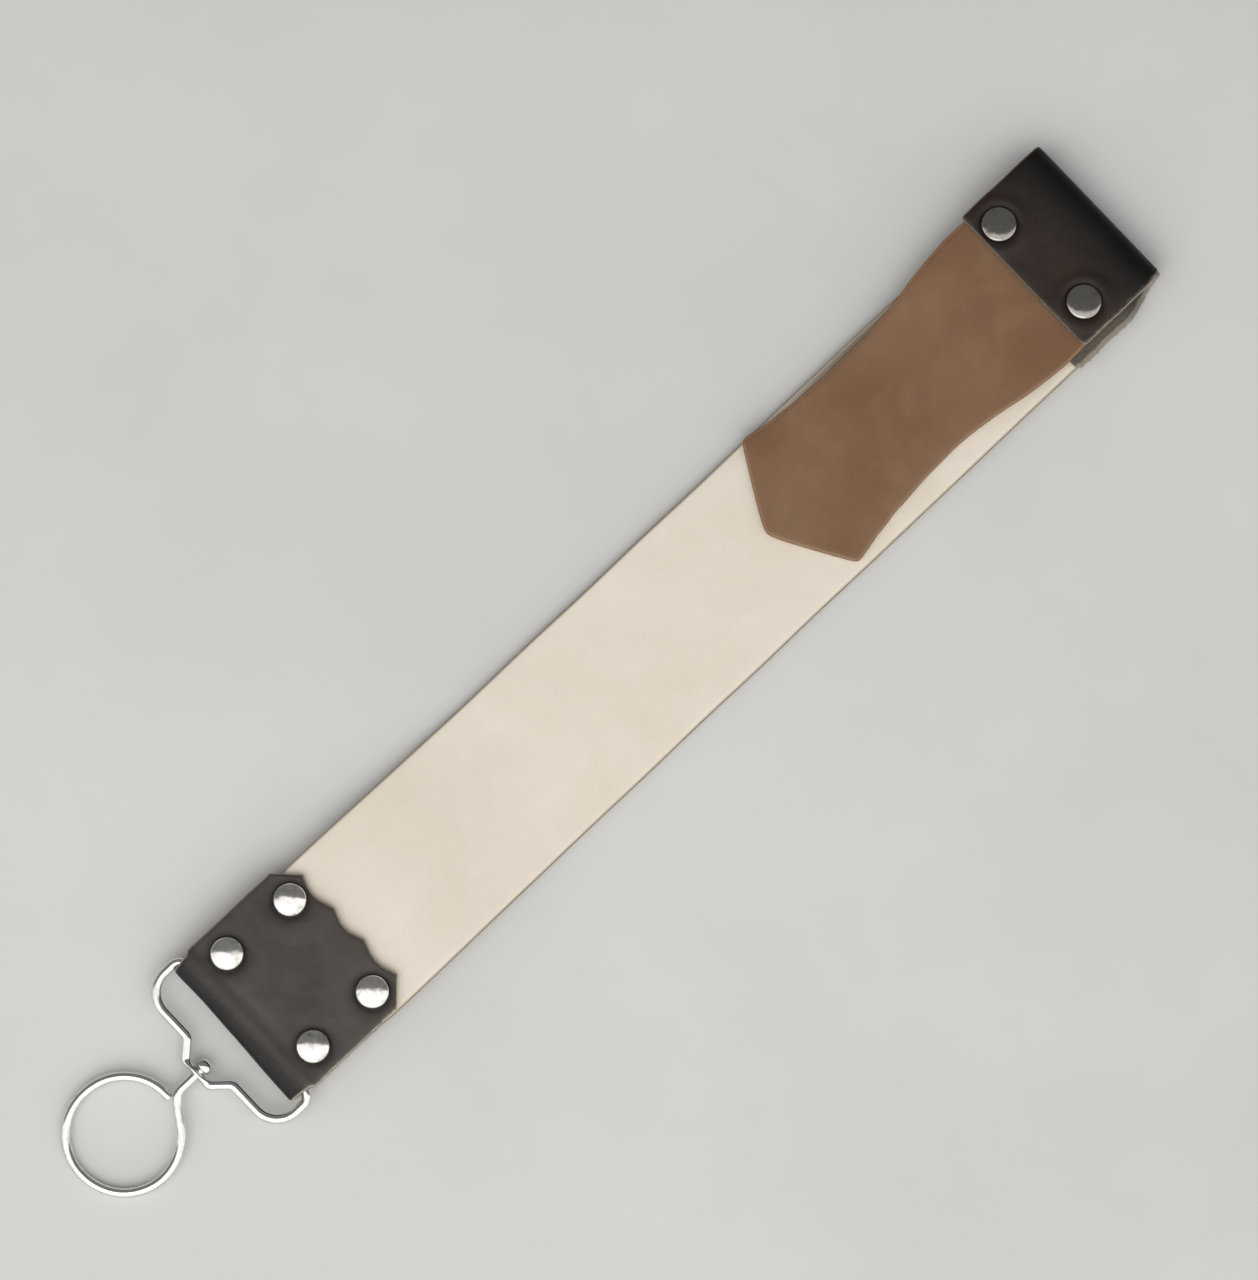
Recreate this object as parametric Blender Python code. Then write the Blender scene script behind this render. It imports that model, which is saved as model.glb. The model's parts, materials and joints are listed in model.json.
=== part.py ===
"""Hanging leather strop: leather strap, riveted handle leather, and a wire bail with a swivel ring.

The strop lies on its back along X, ring end at -X and handle end at +X, working face up (+Z).
All sizes are in metres. Distances "from the bar" run along +X from the axis of the bail's
crossbar, which lies inside the lower leather fold.
"""
import math

import bmesh
import bpy
from mathutils import Matrix, Vector

MM = 0.001
GAP = 0.3 * MM                    # air left between pieces that touch

# ---- leather ---------------------------------------------------------------------------------
STRAP_THICKNESS = 3.0 * MM
STRAP_START = 4.7 * MM            # from the bar
STRAP_END = 378.6 * MM
STRAP_WIDTH_LOW = 60.4 * MM       # where the strap leaves the lower fold
STRAP_WIDTH = 59.2 * MM           # from a third of the way up
STRAP_TAPER = (48.0 * MM, 130.0 * MM)
STRAP_CENTRE_Y = -0.8 * MM
SAG_LOW = (50.0 * MM, 132.0 * MM)     # the strap comes down to the surface it lies on
SAG_TOP = (238.0 * MM, 345.0 * MM)    # and rises again to the riveted stack

LOWER_FOLD_THICKNESS = 2.4 * MM
LOWER_FOLD_REACH = 49.0 * MM      # longest points of the cut edge, from the bar
LOWER_FOLD_WIDTH = 62.4 * MM
LOWER_FOLD_NECK = 57.8 * MM       # width round the crossbar, between the bail's arms
LOWER_FOLD_CENTRE_Y = 0.8 * MM
LOWER_LOOP_BORE = 2.1 * MM        # inner radius of the fold round the crossbar
NECK_END = 5.5 * MM               # where the fold is flat and at full width
EDGE_ZONE = 14.0 * MM             # length over which the sheet follows its cut edge
CORNER_CUT = 8.2 * MM             # corners cut off the fold's free edge
SCALLOPS = 3                      # shallow hollows along the free edge
SCALLOP_DEPTH = 1.7 * MM

TOP_FOLD_THICKNESS = 2.2 * MM
TOP_FOLD_WIDTH = 60.0 * MM
TOP_FRONT_EDGE = 360.8 * MM       # free edge of the front flap, from the bar
TOP_INNER_EDGE = 354.4 * MM       # free edge of the flap between handle and strap
TOP_LOOP_END = 397.3 * MM         # far end of the open loop
TOP_LOOP_DROOP = 3.7 * MM         # how far the loop's lower side hangs below its flap
TOP_DROOP_START = 378.0 * MM
TOP_TURN_X = 388.5 * MM           # centre of the loop's turn
TOP_FRONT_Y = 3.0 * MM            # the front flap sits to one side of the strap
TOP_INNER_Y = -1.8 * MM

HANDLE_THICKNESS = 2.2 * MM
HANDLE_TIP = 240.5 * MM
HANDLE_CORNER = 256.0 * MM
HANDLE_WAIST = 304.2 * MM
HANDLE_SHOULDER = 355.0 * MM
HANDLE_END = 376.0 * MM
HANDLE_HALF_TIP = 1.2 * MM
HANDLE_HALF_CORNER = 28.4 * MM
HANDLE_HALF_WAIST = 23.5 * MM
HANDLE_HALF_SHOULDER = 29.4 * MM
HANDLE_TIP_Y = 0.8 * MM
HANDLE_END_Y = 2.4 * MM
HANDLE_HINGE = 357.0 * MM         # line where the free leaf bends up
HANDLE_STEP = (300.0 * MM, 352.0 * MM)    # the leaf climbs over the inner flap

# ---- rivets ----------------------------------------------------------------------------------
CAP_RADIUS = 5.7 * MM
CAP_RADIUS_TOP = 5.9 * MM
CAP_HEIGHT = 2.6 * MM
CAP_HEIGHT_TOP = 2.2 * MM
BACK_CAP_HEIGHT = 1.6 * MM
POST_RADIUS = 1.7 * MM
SOCKET_DEPTH = 1.1 * MM
HOLE_RADIUS = POST_RADIUS + GAP
LOWER_RIVETS = ((12.4 * MM, 21.9 * MM), (39.9 * MM, 20.6 * MM),
                (12.1 * MM, -20.3 * MM), (38.9 * MM, -20.6 * MM))
TOP_RIVETS = ((368.2 * MM, 22.3 * MM), (370.8 * MM, -16.2 * MM))
RIVET_SIDES = 20

# ---- wire ------------------------------------------------------------------------------------
WIRE_RADIUS = 1.65 * MM
WIRE_SIDES = 12
BAIL_HALF_WIDTH = 32.0 * MM       # to the wire's centre
BAIL_RUN = 16.2 * MM              # outer run of the bail, from the bar
BAIL_HUMP = 22.2 * MM             # the hump that holds the swivel
BAIL_HUMP_FOOT = 11.0 * MM        # half widths of the hump at its foot and its top
BAIL_HUMP_TOP = 5.6 * MM
BAIL_BENDS = (2.6 * MM, 9.4 * MM, 3.0 * MM, 2.4 * MM)
BAIL_BUTT = 0.3 * MM              # half the gap between the wire's ends
EYE_HALF_LENGTH = 3.2 * MM        # the hump is flattened here and drilled
EYE_FADE = 3.0 * MM
EYE_THIN = 1.25 * MM
EYE_TALL = 3.4 * MM
EYE_BORE = WIRE_RADIUS + GAP
RING_RADIUS = 19.4 * MM           # to the wire's centre
RING_X = 54.0 * MM                # ring's centre beyond the bar
RING_Y = 2.0 * MM                 # and to the side of the shank
SHANK_END = 29.5 * MM
RING_JOIN = math.radians(-48.0)   # where the shank's bend meets the circle
RING_TAIL = math.radians(-4.9)    # where the wire's cut end stops
HEAD_BACK = 20.5 * MM             # bearing face of the shank's head
HEAD_PROFILE = ((3.9, 0.9), (3.6, 1.9), (2.9, 2.6), (1.9, 3.0), (0.7, 3.0), (0.15, 2.6), (0.0, 2.0))

# ---- heights of the stacked layers -----------------------------------------------------------
LOWER_BACK_Z = BACK_CAP_HEIGHT + GAP
LOWER_STRAP_Z = LOWER_BACK_Z + LOWER_FOLD_THICKNESS + GAP
LOWER_FRONT_Z = LOWER_STRAP_Z + STRAP_THICKNESS + GAP
LOWER_CAP_Z = LOWER_FRONT_Z + LOWER_FOLD_THICKNESS + GAP
BAR_Z = LOWER_STRAP_Z + STRAP_THICKNESS / 2
TOP_STRAP_Z = BACK_CAP_HEIGHT + GAP
TOP_INNER_Z = TOP_STRAP_Z + STRAP_THICKNESS + GAP
TOP_HANDLE_Z = TOP_INNER_Z + TOP_FOLD_THICKNESS + GAP
TOP_FRONT_Z = TOP_HANDLE_Z + HANDLE_THICKNESS + GAP
TOP_CAP_Z = TOP_FRONT_Z + TOP_FOLD_THICKNESS + GAP

# The bail hangs down from the crossbar until the ring touches the surface.
RING_FAR = RING_X + RING_RADIUS
DROOP = math.asin((BAR_Z - WIRE_RADIUS) / RING_FAR)
RING_REACH = RING_FAR * math.cos(DROOP) + WIRE_RADIUS
BAR_X = (RING_REACH - TOP_LOOP_END) / 2    # puts the origin in the middle of the length

STRAP_ROWS = 18
HANDLE_ROWS = 30


# ---- helpers ---------------------------------------------------------------------------------
def smooth(start, end, value):
    """Rise from 0 to 1 between start and end, level at both."""
    t = min(max((value - start) / (end - start), 0.0), 1.0)
    return t * t * (3.0 - 2.0 * t)


def spread(start, end, count):
    """Count evenly spaced values from start to end."""
    return [start + (end - start) * i / (count - 1) for i in range(count)]


def linear(channel):
    """One sRGB channel, 0 to 255, as a linear value."""
    c = channel / 255.0
    return c / 12.92 if c <= 0.04045 else ((c + 0.055) / 1.055) ** 2.4


def material(name, colour, roughness, metallic):
    made = bpy.data.materials.new(name)
    made.use_nodes = True
    shader = made.node_tree.nodes["Principled BSDF"]
    shader.inputs["Base Color"].default_value = tuple(linear(c) for c in colour) + (1.0,)
    shader.inputs["Roughness"].default_value = roughness
    shader.inputs["Metallic"].default_value = metallic
    return made


def mesh_object(name, vertices, faces, finish, smooth_shaded=False, location=(0.0, 0.0, 0.0)):
    """One closed piece with its own copy of a finish, faces turned outwards."""
    mesh = bpy.data.meshes.new(name)
    mesh.from_pydata([Vector(v) for v in vertices], [], faces)
    shape = bmesh.new()
    shape.from_mesh(mesh)
    bmesh.ops.recalc_face_normals(shape, faces=shape.faces)
    shape.to_mesh(mesh)
    shape.free()
    if smooth_shaded:
        mesh.shade_smooth()
        mesh.set_sharp_from_angle(angle=math.radians(35))
    own = finish.copy()
    own.name = name + "_finish"
    mesh.materials.append(own)
    made = bpy.data.objects.new(name, mesh)
    made.location = location
    bpy.context.scene.collection.objects.link(made)
    return made


def sheet(name, rows, columns, place, thickness, finish):
    """A bent sheet of leather. place(i, j) gives a point of its middle surface and the normal."""
    vertices = []
    for side in (0.5, -0.5):
        for i in range(rows):
            for j in range(columns):
                point, normal = place(i, j)
                vertices.append(point + normal * (thickness * side))
    layer = rows * columns
    faces = []
    for i in range(rows - 1):
        for j in range(columns - 1):
            a = i * columns + j
            quad = (a, a + 1, a + columns + 1, a + columns)
            faces.append(quad)
            faces.append(tuple(layer + k for k in reversed(quad)))
    rim = [i * columns for i in range(rows)]
    rim += [(rows - 1) * columns + j for j in range(1, columns)]
    rim += [i * columns + columns - 1 for i in range(rows - 2, -1, -1)]
    rim += list(range(columns - 2, 0, -1))
    for a, b in zip(rim, rim[1:] + rim[:1]):
        faces.append((a, b, b + layer, a + layer))
    return mesh_object(name, vertices, faces, finish)


def drill(piece, places, radius, low, high):
    """Cut round holes along Z through a piece."""
    for number, (x, y) in enumerate(places, 1):
        mesh = bpy.data.meshes.new("drill")
        shape = bmesh.new()
        bmesh.ops.create_cone(shape, cap_ends=True, segments=RIVET_SIDES, radius1=radius, radius2=radius,
                              depth=high - low)
        shape.to_mesh(mesh)
        shape.free()
        cutter = bpy.data.objects.new(f"{piece.name}_drill_{number}", mesh)
        cutter.location = (BAR_X + x, y, (low + high) / 2)
        cutter.hide_render = True
        cutter.display_type = "WIRE"
        bpy.context.scene.collection.objects.link(cutter)
        cut = piece.modifiers.new(f"hole_{number}", "BOOLEAN")
        cut.operation = "DIFFERENCE"
        cut.object = cutter


def turned(name, profile, finish, location):
    """A solid turned about Z from (radius, height) points, both ends on the axis."""
    vertices = [(0.0, 0.0, profile[0][1])]
    for radius, height in profile[1:-1]:
        for k in range(RIVET_SIDES):
            angle = 2.0 * math.pi * k / RIVET_SIDES
            vertices.append((radius * math.cos(angle), radius * math.sin(angle), height))
    vertices.append((0.0, 0.0, profile[-1][1]))
    rings = len(profile) - 2
    faces = []
    for k in range(RIVET_SIDES):
        after = (k + 1) % RIVET_SIDES
        faces.append((0, 1 + k, 1 + after))
        for r in range(rings - 1):
            low = 1 + r * RIVET_SIDES
            high = low + RIVET_SIDES
            faces.append((low + k, high + k, high + after, low + after))
        last = 1 + (rings - 1) * RIVET_SIDES
        faces.append((last + k, len(vertices) - 1, last + after))
    return mesh_object(name, vertices, faces, finish, smooth_shaded=True, location=location)


def rounded_path(corners, radii, steps):
    """Straight runs through the corners, with an arc of its own radius at each inner corner."""
    path = [Vector(corners[0])]
    for before, corner, after, radius in zip(corners, corners[1:], corners[2:], radii):
        corner = Vector(corner)
        come = (corner - Vector(before)).normalized()
        leave = (Vector(after) - corner).normalized()
        turn = come.angle(leave)
        setback = radius * math.tan(turn / 2)
        side = (leave - come * come.dot(leave)).normalized()
        centre = corner - come * setback + side * radius
        count = max(2, round(steps * turn / (math.pi / 2)))
        for k in range(count + 1):
            angle = turn * k / count
            path.append(centre - side * (radius * math.cos(angle)) + come * (radius * math.sin(angle)))
    path.append(Vector(corners[-1]))
    return path


def wire(name, path, sizes, finish):
    """Sweep an ellipse along a path in the XY plane. sizes give its half width and half height."""
    vertices = []
    for i, point in enumerate(path):
        ahead = path[min(i + 1, len(path) - 1)]
        behind = path[max(i - 1, 0)]
        run = (ahead - behind).normalized()
        across = Vector((-run.y, run.x, 0.0))
        half_width, half_height = sizes[i]
        for k in range(WIRE_SIDES):
            angle = 2.0 * math.pi * k / WIRE_SIDES
            offset = across * (half_width * math.cos(angle)) + Vector((0.0, 0.0, half_height * math.sin(angle)))
            vertices.append(point.to_3d() + offset)
    faces = [tuple(range(WIRE_SIDES))]
    for i in range(len(path) - 1):
        low = i * WIRE_SIDES
        for k in range(WIRE_SIDES):
            after = (k + 1) % WIRE_SIDES
            faces.append((low + k, low + after, low + WIRE_SIDES + after, low + WIRE_SIDES + k))
    last = (len(path) - 1) * WIRE_SIDES
    faces.append(tuple(last + k for k in range(WIRE_SIDES)))
    return mesh_object(name, vertices, faces, finish, smooth_shaded=True)


# ---- strap and handle ------------------------------------------------------------------------
def strap_bottom(x):
    """Height of the strap's back: on the surface in the middle, up on the rivets at both ends."""
    return LOWER_STRAP_Z * (1.0 - smooth(*SAG_LOW, x)) + TOP_STRAP_Z * smooth(*SAG_TOP, x)


def across(height, x):
    """Unit normal, in the XZ plane, of a sheet whose height is a function of x."""
    step = 0.1 * MM
    slope = (height(x + step) - height(x - step)) / (2.0 * step)
    return Vector((-slope, 0.0, 1.0)).normalized()


def make_strap(finish):
    stations = [STRAP_START] + spread(*SAG_LOW, STRAP_ROWS) + spread(*SAG_TOP, STRAP_ROWS) + [STRAP_END]

    def place(i, j):
        x = stations[i]
        narrow = smooth(*STRAP_TAPER, x)
        half = (STRAP_WIDTH_LOW * (1.0 - narrow) + STRAP_WIDTH * narrow) / 2
        middle = strap_bottom(x) + STRAP_THICKNESS / 2
        return Vector((BAR_X + x, STRAP_CENTRE_Y + half * (2 * j - 1), middle)), across(strap_bottom, x)

    strap = sheet("strap", len(stations), 2, place, STRAP_THICKNESS, finish)
    drill(strap, LOWER_RIVETS + TOP_RIVETS, HOLE_RADIUS, 0.0, TOP_CAP_Z)
    return strap


def handle_half_width(x):
    """Half width of the handle leather: a point, two corners, a waist, and a straight end."""
    if x < HANDLE_CORNER:
        share = (x - HANDLE_TIP) / (HANDLE_CORNER - HANDLE_TIP)
        return HANDLE_HALF_TIP + (HANDLE_HALF_CORNER - HANDLE_HALF_TIP) * share
    if x < HANDLE_WAIST:
        share = (HANDLE_WAIST - x) / (HANDLE_WAIST - HANDLE_CORNER)
        return HANDLE_HALF_WAIST + (HANDLE_HALF_CORNER - HANDLE_HALF_WAIST) * share ** 2
    return HANDLE_HALF_WAIST + (HANDLE_HALF_SHOULDER - HANDLE_HALF_WAIST) * smooth(HANDLE_WAIST, HANDLE_SHOULDER, x)


def handle_bottom(x):
    """The handle leather lies on the strap, then climbs over the inner flap of the top fold."""
    step = TOP_HANDLE_Z - (TOP_STRAP_Z + STRAP_THICKNESS + GAP)
    return strap_bottom(x) + STRAP_THICKNESS + GAP + step * smooth(*HANDLE_STEP, x)


def handle_piece(name, stations, finish):
    def place(i, j):
        x = stations[i]
        share = (x - HANDLE_TIP) / (HANDLE_END - HANDLE_TIP)
        centre = HANDLE_TIP_Y + (HANDLE_END_Y - HANDLE_TIP_Y) * share
        middle = handle_bottom(x) + HANDLE_THICKNESS / 2
        y = centre + handle_half_width(x) * (2 * j - 1)
        return Vector((BAR_X + x, y, middle)), across(handle_bottom, x)

    return sheet(name, len(stations), 2, place, HANDLE_THICKNESS, finish)


def make_handle(finish):
    """One leather in the hand, two solids here: the riveted end, and the leaf that lifts."""
    leaf_end = HANDLE_HINGE - GAP / 2
    stations = [HANDLE_TIP] + spread(HANDLE_CORNER, leaf_end, HANDLE_ROWS)
    leaf = handle_piece("handle_leaf", stations, finish)
    axis = Vector((BAR_X + HANDLE_HINGE, 0.0, TOP_HANDLE_Z + HANDLE_THICKNESS))
    leaf.data.transform(Matrix.Translation(-axis))
    leaf.location = axis
    root = handle_piece("handle_fixed_end", [HANDLE_HINGE + GAP / 2, HANDLE_END], finish)
    drill(root, TOP_RIVETS, HOLE_RADIUS, 0.0, TOP_CAP_Z)


# ---- leather folds ---------------------------------------------------------------------------
def lower_spine():
    """Middle line of the lower fold in XZ: back flap, turn round the crossbar, front flap."""
    radius = LOWER_LOOP_BORE + LOWER_FOLD_THICKNESS / 2
    flat = (STRAP_THICKNESS + LOWER_FOLD_THICKNESS) / 2 + GAP
    neck = [NECK_END * (1.0 - k / 3.0) for k in range(3)]
    back = [(x, -(flat + (radius - flat) * (1.0 - smooth(0.0, NECK_END, x)))) for x in neck]
    turn = [(-radius * math.sin(math.pi * k / 12), -radius * math.cos(math.pi * k / 12)) for k in range(13)]
    front = [(x, -z) for x, z in reversed(back)]
    return back + turn + front


def cut_edge(share):
    """How far the free edge of the lower fold falls short of its longest points."""
    half = LOWER_FOLD_WIDTH / 2
    corner = half - CORNER_CUT
    y = abs(share) * half
    if y > corner:
        return y - corner
    phase = (share * half / corner + 1.0) / 2.0 * SCALLOPS
    return SCALLOP_DEPTH * math.sin(math.pi * (phase % 1.0))


def make_lower_fold(finish):
    """A sheet folded round the crossbar, its two free edges cut with corners and scallops."""
    corner = 1.0 - CORNER_CUT / (LOWER_FOLD_WIDTH / 2)
    shares = [-1.0] + spread(-corner, corner, SCALLOPS * 6 + 1) + [1.0]
    flat_start = LOWER_FOLD_REACH - EDGE_ZONE
    flat = (STRAP_THICKNESS + LOWER_FOLD_THICKNESS) / 2 + GAP
    flap = [(1.0, flat_start), (0.0, flat_start)]
    rows = [(edge, x, -flat) for edge, x in flap]
    rows += [(0.0, x, z) for x, z in lower_spine()]
    rows += [(edge, x, flat) for edge, x in reversed(flap)]

    def point(i, j):
        edge, x, z = rows[i]
        if edge:
            x = LOWER_FOLD_REACH - cut_edge(shares[j])
        wide = smooth(0.0, NECK_END, x)
        half = (LOWER_FOLD_NECK * (1.0 - wide) + LOWER_FOLD_WIDTH * wide) / 2
        return Vector((BAR_X + x, LOWER_FOLD_CENTRE_Y + half * shares[j], BAR_Z + z))

    def place(i, j):
        x, z = rows[i][1:]
        outward = Vector((0.0, 0.0, math.copysign(1.0, z)))
        if x <= 0.0:
            outward = Vector((x, 0.0, z)).normalized()
        return point(i, j), outward

    fold = sheet("lower_fold", len(rows), len(shares), place, LOWER_FOLD_THICKNESS, finish)
    drill(fold, LOWER_RIVETS, HOLE_RADIUS, 0.0, LOWER_CAP_Z)
    return fold


def top_spine():
    """Middle line of the top fold in XZ: inner flap, drooping loop, turn, front flap."""
    inner = TOP_INNER_Z + TOP_FOLD_THICKNESS / 2
    front = TOP_FRONT_Z + TOP_FOLD_THICKNESS / 2
    low = inner - TOP_LOOP_DROOP
    line = [(TOP_INNER_EDGE, inner)]
    for x in spread(TOP_DROOP_START, TOP_TURN_X, 7):
        line.append((x, inner - TOP_LOOP_DROOP * smooth(TOP_DROOP_START, TOP_TURN_X, x)))
    across_turn = TOP_LOOP_END - TOP_FOLD_THICKNESS / 2 - TOP_TURN_X
    for k in range(1, 15):
        angle = math.pi * k / 15
        x = TOP_TURN_X + across_turn * math.sin(angle)
        line.append((x, (low + front) / 2 - (front - low) / 2 * math.cos(angle)))
    line += [(TOP_TURN_X, front), (TOP_FRONT_EDGE, front)]
    return line


def make_top_fold(finish):
    """A strip looped over the strap's end: one flap over the handle leather, one under it."""
    line = top_spine()
    lengths = [0.0]
    for (x0, z0), (x1, z1) in zip(line, line[1:]):
        lengths.append(lengths[-1] + math.hypot(x1 - x0, z1 - z0))
    loop_start = TOP_DROOP_START - TOP_INNER_EDGE
    loop_end = lengths[-1] - (TOP_TURN_X - TOP_FRONT_EDGE)

    def place(i, j):
        x, z = line[i]
        before = Vector(line[max(i - 1, 0)])
        after = Vector(line[min(i + 1, len(line) - 1)])
        run = (after - before).normalized()
        aside = TOP_INNER_Y + (TOP_FRONT_Y - TOP_INNER_Y) * smooth(loop_start, loop_end, lengths[i])
        y = aside + TOP_FOLD_WIDTH / 2 * (2 * j - 1)
        return Vector((BAR_X + x, y, z)), Vector((run.y, 0.0, -run.x))

    fold = sheet("top_fold", len(line), 2, place, TOP_FOLD_THICKNESS, finish)
    drill(fold, TOP_RIVETS, HOLE_RADIUS, 0.0, TOP_CAP_Z)
    return fold


# ---- rivets ----------------------------------------------------------------------------------
def dome(radius, height, steps):
    """Points of a low dome from its rim to its crown, above a short straight rim."""
    rim = 0.22 * height
    points = []
    for k in range(steps):
        angle = math.pi / 2 * k / steps
        points.append((radius * math.cos(angle), rim + (height - rim) * math.sin(angle)))
    return points


def make_rivet(name, x, y, cap_z, cap_radius, cap_height, finish):
    """A domed front cap with a socket, and a back cap whose post passes through the leather."""
    socket = POST_RADIUS + GAP
    profile = [(0.0, SOCKET_DEPTH), (socket, SOCKET_DEPTH), (socket, 0.0), (cap_radius * 0.96, 0.0)]
    profile += dome(cap_radius, cap_height, 4) + [(0.0, cap_height)]
    turned(f"rivet_cap_{name}", profile, finish, (BAR_X + x, y, cap_z))
    tip = cap_z + SOCKET_DEPTH - GAP
    flange = BACK_CAP_HEIGHT
    back = [(0.0, 0.0), (cap_radius * 0.55, 0.0), (cap_radius * 0.9, 0.35 * flange)]
    back += [(cap_radius, 0.75 * flange), (cap_radius * 0.97, flange)]
    back += [(POST_RADIUS, flange), (POST_RADIUS, tip), (0.0, tip)]
    turned(f"rivet_post_{name}", back, finish, (BAR_X + x, y, 0.0))


# ---- bail and swivel ring --------------------------------------------------------------------
def make_bail(finish):
    """One bent wire: a crossbar, two rounded lobes, and a flattened, drilled hump."""
    half = [(0.0, BAIL_HALF_WIDTH), (-BAIL_RUN, BAIL_HALF_WIDTH), (-BAIL_RUN, BAIL_HUMP_FOOT),
            (-BAIL_HUMP, BAIL_HUMP_TOP)]
    corners = [(0.0, BAIL_BUTT)] + half + [(x, -y) for x, y in reversed(half)] + [(0.0, -BAIL_BUTT)]
    path = rounded_path(corners, BAIL_BENDS + BAIL_BENDS[::-1], 5)
    middle = len(path) // 2
    eye = [Vector((-BAIL_HUMP, y)) for y in spread(EYE_HALF_LENGTH, -EYE_HALF_LENGTH, 4)]
    path[middle:middle] = eye
    sizes = []
    for point in path:
        flat = 1.0 - smooth(EYE_HALF_LENGTH - EYE_FADE / 2, EYE_HALF_LENGTH + EYE_FADE, abs(point.y))
        if point.x > -BAIL_RUN:
            flat = 0.0
        sizes.append((WIRE_RADIUS + (EYE_THIN - WIRE_RADIUS) * flat, WIRE_RADIUS + (EYE_TALL - WIRE_RADIUS) * flat))
    bail = wire("bail", path, sizes, finish)
    mesh = bpy.data.meshes.new("eye_drill")
    shape = bmesh.new()
    turn = Matrix.Translation((-BAIL_HUMP, 0.0, 0.0)) @ Matrix.Rotation(math.pi / 2, 4, "Y")
    bmesh.ops.create_cone(shape, cap_ends=True, segments=24, radius1=EYE_BORE, radius2=EYE_BORE,
                          depth=6.0 * WIRE_RADIUS, matrix=turn)
    shape.to_mesh(mesh)
    shape.free()
    cutter = bpy.data.objects.new("bail_eye_drill", mesh)
    cutter.hide_render = True
    cutter.display_type = "WIRE"
    bpy.context.scene.collection.objects.link(cutter)
    cut = bail.modifiers.new("eye", "BOOLEAN")
    cut.operation = "DIFFERENCE"
    cut.object = cutter
    return [bail, cutter]


def make_ring(finish):
    """One bent wire: a round head, the shank through the bail's eye, and an open ring."""
    path = []
    sizes = []
    for ahead, radius in HEAD_PROFILE:
        path.append(Vector((-HEAD_BACK + ahead * MM, 0.0)))
        sizes.append(radius * MM)
    path += [Vector((-HEAD_BACK - 0.05 * MM, 0.0)), Vector((-BAIL_HUMP, 0.0)), Vector((-SHANK_END, 0.0))]
    centre = Vector((-RING_X, RING_Y))
    join = centre + RING_RADIUS * Vector((math.cos(RING_JOIN), math.sin(RING_JOIN)))
    heading = Vector((math.sin(RING_JOIN), -math.cos(RING_JOIN)))
    controls = (path[-1], path[-1] + Vector((-4.3 * MM, 0.0)), join - heading * (6.0 * MM), join)
    for k in range(1, 9):
        t = k / 9
        weights = ((1 - t) ** 3, 3 * t * (1 - t) ** 2, 3 * t * t * (1 - t), t ** 3)
        path.append(sum((c * w for c, w in zip(controls, weights)), Vector((0.0, 0.0))))
    for angle in spread(RING_JOIN, RING_TAIL - 2.0 * math.pi, 44):
        path.append(centre + RING_RADIUS * Vector((math.cos(angle), math.sin(angle))))
    sizes += [WIRE_RADIUS] * (len(path) - len(sizes))
    return wire("swivel_ring", path, [(size, size) for size in sizes], finish)


def hang_hardware(finish):
    """Bail and ring hang from the crossbar's axis, tipped down until the ring touches."""
    axis = bpy.data.objects.new("crossbar_axis", None)
    bpy.context.scene.collection.objects.link(axis)
    axis.location = (BAR_X, 0.0, BAR_Z)
    axis.rotation_euler = (0.0, -DROOP, 0.0)
    for piece in make_bail(finish) + [make_ring(finish)]:
        piece.parent = axis


def main():
    for old in list(bpy.data.objects):
        bpy.data.objects.remove(old, do_unlink=True)
    cream = material("natural_leather", (225, 216, 201), 0.55, 0.0)
    tan = material("tan_leather", (131, 102, 80), 0.5, 0.0)
    dark = material("dark_leather", (70, 62, 57), 0.5, 0.0)
    darker = material("brown_leather", (49, 41, 35), 0.5, 0.0)
    nickel = material("nickel", (215, 214, 210), 0.22, 1.0)
    make_strap(cream)
    make_handle(tan)
    make_lower_fold(dark)
    make_top_fold(darker)
    for number, (x, y) in enumerate(LOWER_RIVETS, 1):
        make_rivet(f"lower_{number}", x, y, LOWER_CAP_Z, CAP_RADIUS, CAP_HEIGHT, nickel)
    for number, (x, y) in enumerate(TOP_RIVETS, 1):
        make_rivet(f"top_{number}", x, y, TOP_CAP_Z, CAP_RADIUS_TOP, CAP_HEIGHT_TOP, nickel)
    hang_hardware(nickel)


main()
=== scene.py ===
"""Looks of a hanging leather strop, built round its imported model.

The strop lies on its back along X: ring end at -X, handle end at +X, working face up (+Z).
Sizes are in metres. Distances "from the bar" run along +X from the axis of the bail's crossbar.
"""

import json
from math import asin, copysign, cos, pi, radians, sin, sqrt, tan, tau

import bmesh
import bpy
import numpy as np
from mathutils import Matrix, Vector


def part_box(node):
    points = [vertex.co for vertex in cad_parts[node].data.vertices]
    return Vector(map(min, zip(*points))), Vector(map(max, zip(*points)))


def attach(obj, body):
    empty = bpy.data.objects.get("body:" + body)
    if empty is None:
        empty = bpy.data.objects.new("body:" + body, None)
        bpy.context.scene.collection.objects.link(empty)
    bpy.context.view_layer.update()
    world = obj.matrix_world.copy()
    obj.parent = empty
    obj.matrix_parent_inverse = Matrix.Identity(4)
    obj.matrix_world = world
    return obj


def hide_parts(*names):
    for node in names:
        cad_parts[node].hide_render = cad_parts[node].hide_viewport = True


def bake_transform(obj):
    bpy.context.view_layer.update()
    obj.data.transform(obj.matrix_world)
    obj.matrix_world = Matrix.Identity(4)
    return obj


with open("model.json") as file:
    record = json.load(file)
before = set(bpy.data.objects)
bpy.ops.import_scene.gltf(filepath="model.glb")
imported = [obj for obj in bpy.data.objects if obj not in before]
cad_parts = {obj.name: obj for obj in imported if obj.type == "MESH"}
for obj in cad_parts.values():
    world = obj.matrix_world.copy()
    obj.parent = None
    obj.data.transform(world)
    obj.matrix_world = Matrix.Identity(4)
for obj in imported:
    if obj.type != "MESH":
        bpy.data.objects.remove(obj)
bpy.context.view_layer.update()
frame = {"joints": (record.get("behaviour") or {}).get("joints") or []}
MM = 0.001

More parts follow.
